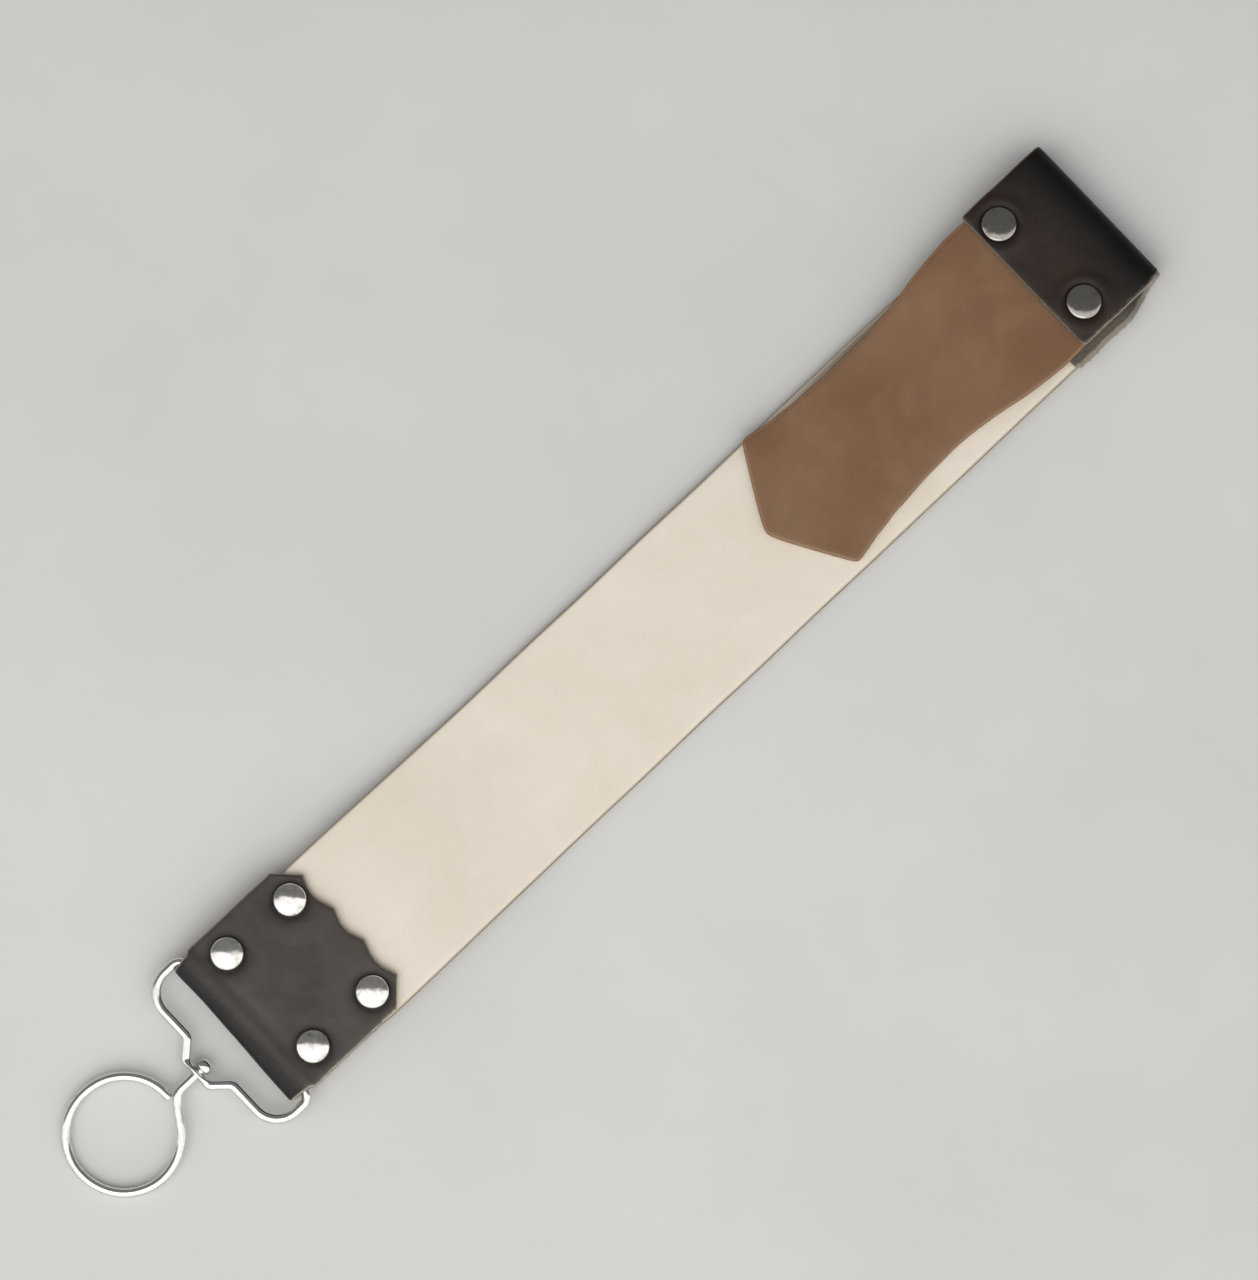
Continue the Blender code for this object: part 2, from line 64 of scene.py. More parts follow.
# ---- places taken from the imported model
JOINTS = {joint["name"]: joint for joint in frame["joints"]}
BAR = Vector(JOINTS["bail_pivot"]["pos_m"])
SHANK = -Vector(JOINTS["ring_swivel"]["axis"])
STRAP_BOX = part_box("strap")
LOWER_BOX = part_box("lower_fold")


def rivets_of(row, count):
    """Each rivet cap of a row: the middle in x and y, the underside, the top and the radius."""
    found = []
    for number in range(1, count + 1):
        low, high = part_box(f"rivet_cap_{row}_{number}")
        x, y, radius = (low.x + high.x) / 2, (low.y + high.y) / 2, (high.x - low.x) / 2
        found.append((x, y, low.z, high.z, radius))
    return found


LOWER_RIVETS = rivets_of("lower", 4)
TOP_RIVETS = rivets_of("top", 2)

# ---- leather
GAP = 0.3 * MM
STRAP_THICKNESS = 3.0 * MM
STRAP_START = STRAP_BOX[0].x
STRAP_END = STRAP_BOX[1].x
STRAP_WIDTH_LOW = 60.4 * MM
STRAP_WIDTH = 59.2 * MM
STRAP_TAPER = (48.0 * MM, 130.0 * MM)
STRAP_CENTRE_Y = -0.8 * MM
STRAP_WANDER = (0.10 * MM, 60.0 * MM)  # how far the edges stray, over what length
STRAP_TUCK = 0.55 * MM  # the -Y edge is narrower under the lower fold
STRAP_TUCK_ZONE = (40.0 * MM, 30.0 * MM)
STRAP_DROP = 0.5 * MM  # the +Y edge hangs a little beside the waist
SAG_LOW = (50.0 * MM, 132.0 * MM)
SAG_TOP = (238.0 * MM, 345.0 * MM)
LOWER_STRAP_Z = 4.6 * MM
TOP_STRAP_Z = 1.9 * MM

FOLD_THICKNESS = 2.4 * MM
FOLD_REACH = LOWER_BOX[1].x
FOLD_WIDTH = 62.4 * MM
FOLD_NECK = 59.0 * MM
FOLD_SLACK = 0.40  # how much looser the turn is at its -Y end
FOLD_CENTRE_Y = 0.8 * MM
FOLD_BORE = 2.1 * MM
FOLD_NECK_END = 5.5 * MM
FOLD_SIDE_TURN = (-3.3 * MM, 1.2 * MM)  # where the sides narrow round the crossbar
FOLD_SIDE_STEP = (2.2 * MM, 3.3 * MM)  # where they stand out past the bail's arms
FOLD_SIDE_SHARE = 0.32
FOLD_CORNER = 8.2 * MM
FOLD_CORNER_ZONE = 16.0 * MM  # the free edge's outline fades out over this
FOLD_CUSPS = (-1.0, -0.3, 0.335, 1.0)  # shares of the scalloped stretch
SCALLOP_DEPTH = 2.1 * MM

TOP_THICKNESS = 2.2 * MM
TOP_WIDTH = 60.0 * MM
TOP_FRONT_EDGE = 360.8 * MM
TOP_INNER_EDGE = 354.4 * MM
TOP_LOOP_END = 397.3 * MM
TOP_DROOP = 3.7 * MM
TOP_DROOP_START = 378.0 * MM
TOP_TURN = 388.5 * MM
TOP_FRONT_Y = 3.0 * MM
TOP_INNER_Y = -1.5 * MM
TOP_SHIFT_LEAD = 12.0 * MM
RAW_EDGE = 2.3 * MM
TOP_INNER_Z = 5.2 * MM
TOP_FRONT_Z = 10.2 * MM

HANDLE_THICKNESS = 2.2 * MM
HANDLE_TIP = 240.5 * MM
HANDLE_CORNER = 256.0 * MM
HANDLE_WAIST = 304.2 * MM
HANDLE_SHOULDER = 355.0 * MM
HANDLE_END = 376.0 * MM
HALF_CORNER = 28.4 * MM
HALF_WAIST = 23.5 * MM
HALF_SHOULDER = 29.4 * MM
HANDLE_UNEVEN = 1.2 * MM  # the waist is cut less deep on its +Y side
HANDLE_BLUNT = 0.05  # how rounded the point is, as a share of the half width
HANDLE_POINT_FADE = 46.0 * MM
HANDLE_CURL = 0.225 * MM  # the free end stands up a little
WAIST_REACH = 34.0 * MM
HANDLE_TIP_Y = 0.8 * MM
HANDLE_END_Y = 2.4 * MM
HANDLE_STEP = (300.0 * MM, 352.0 * MM)
HANDLE_Z = 7.7 * MM
HOLE_RADIUS = 2.1 * MM
EDGE_ROUND = 0.9 * MM  # how far in from a cut edge the faces are rounded
FINE_STEP = 0.9 * MM  # mesh step of the two folds

# ---- wire
WIRE = 1.65 * MM
WIRE_SIDES = 28
BAIL_HALF = 32.0 * MM
BAIL_RUN = 16.2 * MM
BAIL_HUMP = 22.2 * MM
HUMP_FOOT = 11.0 * MM
HUMP_TOP = 5.6 * MM
BAIL_BENDS = (3.6 * MM, 9.4 * MM, 3.0 * MM, 2.4 * MM)
EYE_HALF = 3.2 * MM
EYE_FADE = 3.0 * MM
EYE_THIN = 1.25 * MM
EYE_TALL = 3.4 * MM
BUTT_GAP = 0.3 * MM  # half the gap between the crossbar's two cut ends
WIRE_STEP = 0.6 * MM
RING_RADIUS = 19.4 * MM
RING_X = 54.0 * MM
RING_Y = 2.0 * MM
SHANK_END = 29.5 * MM
RING_JOIN = radians(-48.0)
RING_TAIL = radians(-4.9)
HEAD_BACK = 20.5 * MM
HEAD_LENGTH = 3.9 * MM
HEAD_RADIUS = 3.0 * MM
RING_SWING = (4.3 * MM, 6.0 * MM)  # reach of the curve's handles from shank into ring
RING_WOBBLE = (0.10 * MM, 0.03 * MM)  # the ring is bent by hand, not quite round
CUT_END = (0.86, 0.95, 0.99)  # the wire's thickness at its cut end, outermost first


# ---- small helpers
def smooth(start, end, value):
    """Go from 0 at start to 1 at end, level at both."""
    t = np.clip((np.asarray(value, float) - start) / (end - start), 0.0, 1.0)
    return t * t * (3.0 - 2.0 * t)


def bell(value, centre, width):
    """A bump of height 1 at centre."""
    return np.exp(-(((np.asarray(value, float) - centre) / width) ** 2))


def unit(vectors):
    return vectors / np.maximum(np.linalg.norm(vectors, axis=-1, keepdims=True), 1e-12)


def ripples(s, t, wavelength, seed, count=9):
    """A gentle uneven surface, between about -1 and 1, over flat coordinates s and t."""
    dice = np.random.default_rng(seed)
    total = np.zeros(np.broadcast(s, t).shape)
    for _ in range(count):
        angle = dice.uniform(0.0, tau)
        size = wavelength * dice.uniform(0.6, 1.7)
        phase = dice.uniform(0.0, tau)
        total += np.sin(tau * (s * cos(angle) + t * sin(angle)) / size + phase)
    return total / (count ** 0.5 * 1.4)


def stations(start, end, step):
    """Evenly spaced values from start to end, about a step apart."""
    return np.linspace(start, end, max(2, round(abs(end - start) / step) + 1))


def lengths_of(line):
    """Distance run along a line up to each of its points."""
    return np.concatenate([[0.0], np.cumsum(np.linalg.norm(np.diff(line, axis=0), axis=1))])


def waves(flat, seed, *layers):
    """Unevenness of a hide: one lot of ripples for each (height, wavelength)."""
    return sum(height * ripples(flat[:, :, 0], flat[:, :, 1], wavelength, seed + k)
               for k, (height, wavelength) in enumerate(layers))


def from_side(half, share):
    """Distance from the nearer long edge, half being the half width of each row."""
    return half[:, None] * (1.0 - np.abs(share))


def near_rivets(x, y, rivets):
    """Distance to the nearest rivet's axis."""
    away = [np.hypot(x - rivet[0], y - rivet[1]) for rivet in rivets]
    return np.min(away, axis=0)


def in_scene(name, data):
    """A new object in the scene for a mesh, camera or light."""
    made = bpy.data.objects.new(name, data)
    bpy.context.scene.collection.objects.link(made)
    return made


def new_mesh(name, vertices, faces, finish):
    """One closed piece, smooth shaded, faces turned outwards."""
    mesh = bpy.data.meshes.new(name)
    mesh.from_pydata([tuple(v) for v in vertices], [], faces)
    shape = bmesh.new()
    shape.from_mesh(mesh)
    bmesh.ops.recalc_face_normals(shape, faces=shape.faces)
    shape.to_mesh(mesh)
    shape.free()
    mesh.shade_smooth()
    mesh.materials.append(finish)
    return in_scene(name, mesh)


# ---- a bent sheet of leather
RIM_STEPS = 7
RIM_POWER = 0.8  # below 1 the cut edge is squarer than a half circle
RIM_TORN = 2.2  # how much more the rim frays than the faces
CORNER_TURN = 0.12  # 1 - cos of the turn that counts as a corner


def border_of(rows, columns):
    """Grid places round the sheet's outline, in order."""
    line = [(i, 0) for i in range(rows)]
    line += [(rows - 1, j) for j in range(1, columns)]
    line += [(i, columns - 1) for i in range(rows - 2, -1, -1)]
    line += [(0, j) for j in range(columns - 2, 0, -1)]
    return np.array(line)


def outward_of(line, normals, inner):
    """Unit directions that leave the sheet across its outline."""
    run = unit(np.roll(line, -1, 0) - np.roll(line, 1, 0))
    out = unit(np.cross(run, normals))
    if ((line - inner) * out).sum() < 0:
        out = -out
    return out


def punch(middle, normals, rivets):
    """Take out the cells inside each rivet's hole, and move their outline onto a circle."""
    rows, columns = middle.shape[:2]
    removed = np.zeros((rows - 1, columns - 1), bool)
    for rivet in rivets:
        level = np.abs(normals[:, :, 2]) > 0.8
        centre = (middle[:-1, :-1] + middle[1:, 1:]) / 2
        away = np.hypot(centre[:, :, 0] - rivet[0], centre[:, :, 1] - rivet[1])
        hole = (away < HOLE_RADIUS) & level[:-1, :-1]
        removed |= hole
        touched = np.zeros((rows, columns), bool)
        for di, dj in ((0, 0), (0, 1), (1, 0), (1, 1)):
            touched[di:rows - 1 + di, dj:columns - 1 + dj] |= hole
        spot = np.array([rivet[0], rivet[1]])
        arm = middle[:, :, :2] - spot
        reach = np.linalg.norm(arm, axis=2, keepdims=True)
        moved = spot + arm / np.maximum(reach, 1e-9) * HOLE_RADIUS
        middle[:, :, :2] = np.where(touched[:, :, None], moved, middle[:, :, :2])
    return removed


def from_outline(places, outline, batch=60):
    """Distance of each place on the flat hide from the sheet's outline."""
    away = np.full(places.shape[:2], 1.0)
    for start in range(0, len(outline), batch):
        part = outline[start:start + batch]
        gap = np.linalg.norm(places[:, :, None, :] - part, axis=3).min(axis=2)
        away = np.minimum(away, gap)
    return away


def sheet_faces(rows, columns, removed, border):
    """Faces of a sheet: front grid, back grid, walls of the holes, and the rim between them."""
    size = rows * columns
    count = len(border)
    faces = []
    for i in range(rows - 1):
        for j in range(columns - 1):
            if removed[i, j]:
                continue
            a = i * columns + j
            faces.append((a, a + 1, a + columns + 1, a + columns))
            faces.append((size + a + columns, size + a + columns + 1, size + a + 1, size + a))
    for i, j in zip(*np.nonzero(removed)):
        a = i * columns + j
        sides = (((i - 1, j), a, a + 1), ((i + 1, j), a + columns + 1, a + columns),
                 ((i, j - 1), a + columns, a), ((i, j + 1), a + 1, a + columns + 1))
        for cell, p, q in sides:
            if not removed[cell]:
                faces.append((int(p), int(q), int(size + q), int(size + p)))
    edge = [[int(i * columns + j) for i, j in border]]
    edge += [[2 * size + (k - 1) * count + n for n in range(count)] for k in range(1, RIM_STEPS)]
    edge += [[int(size + i * columns + j) for i, j in border]]
    for upper, lower in zip(edge, edge[1:]):
        for n in range(count):
            m = (n + 1) % count
            faces.append((upper[n], upper[m], lower[m], lower[n]))
    return faces


def sheet(name, middle, normals, flat, thickness, lip, finish, front, back,
          rivets=(), soften=0, wear=None):
    """A sheet with a rounded cut edge.

    middle, normals and flat are grids: points of the middle surface, unit normals on the front
    side, and places on the flat hide. front and back are how far each face stands off its plain
    height. lip is how deep the cut edge is rounded, one value or a grid. soften is how often the
    corners of the outline are eased. Each vertex keeps its place on the hide in mm, how near the
    cut edge it is, and its wear and painted shade: how hard it is pressed by a rivet, darkened
    partly as pressed leather and partly as painted shade, how much painted shade it has at bends
    and beside the handle's waist, and how torn it is.
    """
    rows, columns = middle.shape[:2]
    middle = middle.copy()
    flat3 = np.dstack([flat, np.zeros((rows, columns))])
    border = border_of(rows, columns)
    bi, bj = border[:, 0], border[:, 1]
    line = middle[bi, bj]
    turn = 1.0 - (unit(np.roll(line, -2, 0) - line) * unit(line - np.roll(line, 2, 0))).sum(1)
    corner = turn > CORNER_TURN
    for _ in range(soften):
        eased = 0.5 * line + 0.25 * (np.roll(line, 1, 0) + np.roll(line, -1, 0))
        line[corner] = eased[corner]
        corner = corner | np.roll(corner, 1) | np.roll(corner, -1)
    si, sj = np.clip(bi, 1, rows - 2), np.clip(bj, 1, columns - 2)
    out = outward_of(line, normals[bi, bj], middle[si, sj])
    flat_line = flat3[bi, bj]
    flat_out = outward_of(flat_line, np.tile([0.0, 0.0, 1.0], (len(border), 1)), flat3[si, sj])
    lip = np.broadcast_to(lip, (rows, columns))[bi, bj][:, None]
    middle[bi, bj] = line - out * lip
    removed = punch(middle, normals, rivets)
    away = from_outline(flat3, flat_line)

    # the front and back grids, then the rings of vertices round the rim
    high = thickness / 2 + front
    low = -(thickness / 2 + back)
    depth = np.array([0.0, 0.0, thickness / 2])
    vertices = [(middle + normals * level[:, :, None]).reshape(-1, 3) for level in (high, low)]
    rests = [(flat3 + side).reshape(-1, 3) for side in (depth, -depth)]
    size = rows * columns
    looks = [np.column_stack([np.zeros(size), np.full(size, side), away.ravel() / MM])
             for side in (1.0, 0.0)]
    press_and_shade, painted_shade, torn = wear if wear else [np.zeros((rows, columns))] * 3
    wear_shade_rows = [np.dstack([press_shade, painted_shade, torn]).reshape(-1, 3) for press_shade in (press_and_shade, 0.0 * press_and_shade)]
    top, bottom = high[bi, bj], low[bi, bj]
    none = np.zeros(len(border))
    for k in range(1, RIM_STEPS):
        angle = pi / 2 - pi * k / RIM_STEPS
        reach = lip * cos(angle) ** RIM_POWER
        rise = copysign(abs(sin(angle)) ** RIM_POWER, sin(angle))
        height = (top + bottom) / 2 + (top - bottom) / 2 * rise
        vertices.append(middle[bi, bj] + out * reach + normals[bi, bj] * height[:, None])
        around = flat_line + flat_out * reach
        around[:, 2] = height
        rests.append(around)
        looks.append(np.column_stack([none + cos(angle) ** 0.5, none + (0.5 + 0.5 * rise), none]))
        frayed = np.minimum(RIM_TORN * torn[bi, bj], 1.0)
        wear_shade_rows.append(np.column_stack([none, painted_shade[bi, bj], frayed]))

    faces = sheet_faces(rows, columns, removed, border)
    used = np.zeros(sum(len(v) for v in vertices), bool)
    for face in faces:
        used[list(face)] = True
    renumber = np.cumsum(used) - 1
    faces = [tuple(int(renumber[c]) for c in face) for face in faces]
    made = new_mesh(name, np.vstack(vertices)[used], faces, finish)
    for label, values in (("hide_place", np.vstack(rests) / MM), ("hide_look", np.vstack(looks)),
                          ("hide_wear", np.vstack(wear_shade_rows))):
        layer = made.data.attributes.new(label, "FLOAT_VECTOR", "POINT")
        layer.data.foreach_set("vector", values[used].astype(np.float32).ravel())
    return made


def ribbon(line, outward, ys):
    """Middle, normals and flat places of a sheet with one cross-section, a line in XZ."""
    outward = unit(outward)
    grids = ((line[:, :1], ys, line[:, 1:]), (outward[:, :1], np.zeros_like(ys), outward[:, 1:]),
             (lengths_of(line)[:, None], ys))
    return [np.dstack(np.broadcast_arrays(*parts)) for parts in grids]


def level_normals(height, x):
    """XZ normals of a surface whose height is a function of x."""
    step = 0.1 * MM
    slope = (height(x + step) - height(x - step)) / (2.0 * step)
    return np.column_stack([-slope, np.ones_like(slope)])


# ---- shader building
def linear(channel):
    c = channel / 255.0
    return c / 12.92 if c <= 0.04045 else ((c + 0.055) / 1.055) ** 2.4


def tone(red, green, blue):
    """An sRGB colour as linear RGBA."""
    return (linear(red), linear(green), linear(blue), 1.0)


class Finish:
    """One node material, with short calls that add nodes to it."""

    def __init__(self, name):
        self.material = bpy.data.materials.new(name)
        self.material.use_nodes = True
        self.tree = self.material.node_tree
        self.shader = self.tree.nodes["Principled BSDF"]

    def set(self, node, key, value):
        if isinstance(value, bpy.types.NodeSocket):
            self.tree.links.new(value, node.inputs[key])
        else:
            node.inputs[key].default_value = value

    def surface(self, **values):
        for key, value in values.items():
            self.set(self.shader, key.replace("_", " "), value)

    def node(self, kind, inputs=(), **settings):
        made = self.tree.nodes.new("ShaderNode" + kind)
        for key, value in settings.items():
            setattr(made, key, value)
        for key, value in dict(inputs).items():
            self.set(made, key, value)
        return made

    def attribute(self, name):
        return self.node("Attribute", attribute_name=name)

    def split(self, vector):
        return self.node("SeparateXYZ", {"Vector": vector}).outputs

    def math(self, operation, a, b, clamp=False):
        made = self.node("Math", {0: a, 1: b}, operation=operation, use_clamp=clamp)
        return made.outputs[0]

    def plus(self, a, b, clamp=False):
        return self.math("ADD", a, b, clamp)

    def times(self, a, b):
        return self.math("MULTIPLY", a, b)

    def noise(self, place, scale, detail, rough, twist=0.0):
        inputs = {"Vector": place, "Scale": scale, "Detail": detail, "Roughness": rough,
                  "Distortion": twist}
        return self.node("TexNoise", inputs).outputs["Fac"]

    def cells(self, place, scale, feature="F1"):
        inputs = {"Vector": place, "Scale": scale}
        return self.node("TexVoronoi", inputs, feature=feature).outputs["Distance"]

    def stretch(self, place, scale, turn=0.0):
        inputs = {"Vector": place, "Scale": scale, "Rotation": (0.0, 0.0, turn)}
        return self.node("Mapping", inputs).outputs[0]

    def band(self, value, low, high, start=0.0, end=1.0):
        """Value mapped from low..high to start..end, held outside."""
        inputs = {"Value": value, "From Min": low, "From Max": high, "To Min": start, "To Max": end}
        return self.node("MapRange", inputs, interpolation_type="SMOOTHSTEP").outputs[0]

    def mix(self, share, a, b):
        """Colour a, going to colour b as share goes from 0 to 1."""
        made = self.node("Mix", data_type="RGBA", clamp_factor=True)
        self.set(made, 0, share)
        self.set(made, 6, a)
        self.set(made, 7, b)
        return made.outputs[2]

    def bump(self, height, strength, distance):
        made = self.node("Bump", {"Height": height, "Strength": strength, "Distance": distance})
        return made.outputs[0]


LEATHER_SPECULAR = 0.25


def leather(name, tones, flesh, edge, rim, press_shade_tone, wide, clouds, roughness, grain, scratch,
            fray=None):
    """Vegetable-tanned leather: mottled grain side, fibrous flesh side, and a cut edge.

    Colours are sRGB. tones are the grain side's dark, middle and light colours; flesh and edge
    have a dark and a light one; rim is the colour just inside the cut edge, on the tan hide
    lighter as a painted highlight along the cut edge; the colour after rim is the colour round
    pressed rivets, partly pressed leather and partly painted shade of the dimples, and the
    colour of painted shade at bends and, on the strap, beside the handle's waist; fray is the
    colour of torn edges. wide and clouds give the scale, per mm, and the strength of the broad
    and the smaller patches. Every noise scale here is per mm of the flat hide.
    """
    make = Finish(name)
    band, mix, noise = make.band, make.mix, make.noise
    plus, times = make.plus, make.times
    dark, middle, light = (tone(*colour) for colour in tones)
    flesh_dark, flesh_light = (tone(*colour) for colour in flesh)
    edge_dark, edge_light = (tone(*colour) for colour in edge)
    place = make.attribute("hide_place").outputs["Vector"]
    edge_share, front_share, inset = make.split(make.attribute("hide_look").outputs["Vector"])
    press_and_shade, painted_shade, torn = make.split(make.attribute("hide_wear").outputs["Vector"])
    front_share = band(front_share, 0.35, 0.65)
    broad = noise(place, wide[0], 3.0, 0.5, 0.3)
    broad = band(broad, 0.34, 0.66, 0.5 - wide[1], 0.5 + wide[1])
    cloud = noise(place, clouds[0], 5.0, 0.6, 0.3)
    fine = noise(place, 0.9, 4.0, 0.65)
    colour = mix(broad, dark, middle)
    colour = mix(times(band(cloud, 0.44, 0.78), clouds[1]), colour, light)
    speck = band(noise(place, 2.6, 2.0, 0.7), 0.60, 0.74)
    colour = mix(times(speck, 0.14), colour, dark)
    # fine creases of the grain, and pores in loose groups
    warp = make.node("TexNoise", {"Vector": place, "Scale": 0.7}).outputs["Color"]
    warped = make.node("VectorMath", {0: place, 1: warp}, operation="ADD").outputs[0]
    crease = band(make.cells(warped, 0.95, "DISTANCE_TO_EDGE"), 0.0, 0.16, 1.0, 0.0)
    pores = times(band(make.cells(warped, 1.7), 0.10, 0.24, 1.0, 0.0),
                      band(noise(place, 0.16, 2.0, 0.5), 0.42, 0.60))
    colour = mix(times(pores, 0.26), colour, dark)
    # thin scuffs that run mostly along the strop
    scuff = None
    for turn, scale, level in ((0.12, 0.05, 0.70), (-0.35, 0.045, 0.72), (1.2, 0.05, 0.75)):
        run = make.stretch(place, (scale, 1.9, 1.0), turn)
        mark = band(noise(run, 1.0, 1.0, 0.4, 0.25), level, level + 0.05)
        scuff = mark if scuff is None else make.math("MAXIMUM", scuff, mark)
    colour = mix(times(scuff, scratch), colour, light)
    # leather darkened where it is pressed by rivets, and painted shade round the rivets' dimples,
    # at bends and beside the handle's waist
    press_shade_share = plus(painted_shade, times(make.math("SUBTRACT", fine, 0.5), 0.3), clamp=True)
    press_shade_share = times(press_shade_share, band(painted_shade, 0.0, 0.15))
    press_shade_share = make.math("MAXIMUM", press_shade_share, times(press_and_shade, 0.85))
    colour = mix(press_shade_share, colour, tone(*press_shade_tone))
    # the rim just inside the cut edge (on the tan hide, a painted highlight along the cut edge),
    # then the flesh side, then the edge itself
    near_cut = plus(band(inset, 0.1, 1.3, 1.0, 0.0), times(fine, 0.5))
    colour = mix(times(band(near_cut, 0.7, 1.25), 0.8), colour, tone(*rim))
    fibre = noise(make.stretch(place, (0.5, 1.3, 1.0), 0.5), 1.4, 5.0, 0.75, 0.8)
    nap = mix(band(fibre, 0.3, 0.7), flesh_dark, flesh_light)
    nap = mix(times(band(cloud, 0.35, 0.7), 0.35), nap, flesh_dark)
    colour = mix(front_share, nap, colour)
    strands = noise(make.stretch(place, (0.35, 0.35, 3.2)), 1.6, 4.0, 0.7, 0.4)
    cut = mix(band(strands, 0.32, 0.68), edge_dark, edge_light)
    edge_share = band(edge_share, 0.25, 0.75)
    colour = mix(edge_share, colour, cut)
    # torn edges show the pale fibres inside the hide
    frayed = plus(torn, times(make.math("SUBTRACT", strands, 0.5), 0.9))
    frayed = times(band(frayed, 0.15, 0.75), band(torn, 0.0, 0.2))
    colour = mix(frayed, colour, tone(*(fray or rim)))
    # duller on the flesh side; the bump has creases, pores, fibres and the strands of the edge
    gloss = plus(times(cloud, 0.6), times(fine, 0.4))
    gloss = band(gloss, 0.36, 0.66, roughness[0], roughness[1])
    gloss = plus(gloss, times(make.math("SUBTRACT", 1.0, front_share), 0.22))
    height = plus(times(crease, -0.5), times(pores, -0.7))
    height = plus(height, times(fine, 0.9))
    flesh_share = make.math("SUBTRACT", 1.6, times(front_share, 1.6))
    height = plus(height, times(fibre, flesh_share))
    height = plus(height, times(times(strands, edge_share), 2.5))
    make.surface(Base_Color=colour, Roughness=gloss, Specular_IOR_Level=LEATHER_SPECULAR,
                 Normal=make.bump(height, grain, 0.12 * MM))
    return make.material


# painted shade: the top rivets' darker reflections are painted as a duller colour at the handle end
DIM_REFLECTION_TONE = tone(112, 106, 96)
DIM_REFLECTION_FADE = (0.0, 0.1)  # over what x, in metres, the plating gets duller


def nickel(name, bright, dull, roughness, dents, painted_dimming=0.0):
    """Plated steel: bright, with hair-fine scratches, faint pits, mottling and painted shade at the
    handle end.

    bright and dull are sRGB. The last argument is how much duller the +X half is painted: painted
    shade for the darker reflections of the rivets at the handle end. Every noise scale here is per
    metre.
    """
    make = Finish(name)
    band, mix, noise = make.band, make.mix, make.noise
    plus, times = make.plus, make.times
    bright, dull = tone(*bright), tone(*dull)
    place = make.node("TexCoord").outputs["Object"]
    cloud = noise(place, 260.0, 4.0, 0.6, 0.4)
    hair = noise(make.stretch(place, (500.0, 4200.0, 2600.0), 0.6), 1.0, 2.0, 0.6)
    other = noise(make.stretch(place, (4600.0, 420.0, 2600.0), -0.3), 1.0, 2.0, 0.6)
    marks = make.math("MAXIMUM", band(hair, 0.62, 0.72), band(other, 0.64, 0.74))
    pits = band(make.cells(place, 900.0), 0.05, 0.16, 1.0, 0.0)
    pits = times(pits, band(cloud, 0.5, 0.66))
    colour = mix(band(cloud, 0.44, 0.78), bright, dull)
    colour = mix(times(pits, 0.5), colour, dull)
    # painted shade: the handle end is painted duller for its rivets' darker reflections
    if painted_dimming:
        along, _, _ = make.split(place)
        colour = mix(band(along, *DIM_REFLECTION_FADE, 0.0, painted_dimming), colour, DIM_REFLECTION_TONE)
    gloss = band(cloud, 0.35, 0.7, roughness[0], roughness[1])
    gloss = plus(gloss, times(marks, 0.12))
    waves = noise(place, 420.0, 2.0, 0.5)
    height = plus(times(waves, dents * 4.0), times(marks, -0.12))
    height = plus(height, times(pits, -0.3))
    make.surface(Base_Color=colour, Metallic=1.0, Roughness=gloss,
                 Normal=make.bump(height, 0.5, 0.06 * MM))
    return make.material


def pale_floor():
    """A plain pale table top, slightly mottled; scales per metre."""
    make = Finish("pale_floor")
    place = make.node("TexCoord").outputs["Object"]
    cloud = make.noise(place, 6.0, 4.0, 0.6)
    colour = make.mix(make.band(cloud, 0.3, 0.7), tone(203, 203, 201), tone(209, 209, 207))
    fine = make.noise(place, 900.0, 3.0, 0.6)
    make.surface(Base_Color=colour, Roughness=0.85, Specular_IOR_Level=0.2,
                 Normal=make.bump(fine, 0.08, 0.1 * MM))
    return make.material


# ---- strap
def strap_bottom(x):
    """Height of the strap's back, x metres from the bar."""
    return LOWER_STRAP_Z * (1.0 - smooth(*SAG_LOW, x)) + TOP_STRAP_Z * smooth(*SAG_TOP, x)


def make_strap(finish):
    x = stations(STRAP_START - BAR.x, STRAP_END - BAR.x, 1.5 * MM)
    share = np.linspace(-1.0, 1.0, 51)
    half = (STRAP_WIDTH_LOW + (STRAP_WIDTH - STRAP_WIDTH_LOW) * smooth(*STRAP_TAPER, x)) / 2
    y = STRAP_CENTRE_Y + half[:, None] * share
    y += STRAP_WANDER[0] * share * ripples(x, 0.0, STRAP_WANDER[1], 3)[:, None]
    y += STRAP_TUCK * smooth(0.0, -1.0, share) * smooth(*STRAP_TUCK_ZONE, x)[:, None]
    line = np.column_stack([BAR.x + x, strap_bottom(x) + STRAP_THICKNESS / 2])
    middle, normals, flat = ribbon(line, level_normals(strap_bottom, x), y)
    beside_waist = bell(x, HANDLE_WAIST, WAIST_REACH)[:, None]
    middle[:, :, 2] -= STRAP_DROP * smooth(0.6, 1.0, share) * beside_waist
    uneven = waves(flat, 11, (0.05 * MM, 34.0 * MM), (0.02 * MM, 9.0 * MM))
    rounding = -0.16 * MM * np.exp(-from_side(half, share) / EDGE_ROUND)
    front = uneven + rounding
    back = -0.5 * uneven + 0.6 * rounding - 0.06 * MM
    # painted shadow of the handle leather's edge on the narrow strip of the strap left bare at its
    # waist
    waist_shadow = 0.95 * smooth(0.80, 0.92, share) * beside_waist
    piece = sheet("strap_leather", middle, normals, flat, STRAP_THICKNESS, 0.5 * MM, finish,
                  front, back, LOWER_RIVETS + TOP_RIVETS, 3,
                  (waist_shadow, 0.5 * waist_shadow, np.zeros(waist_shadow.shape)))
    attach(piece, "strop")
    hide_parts("strap")


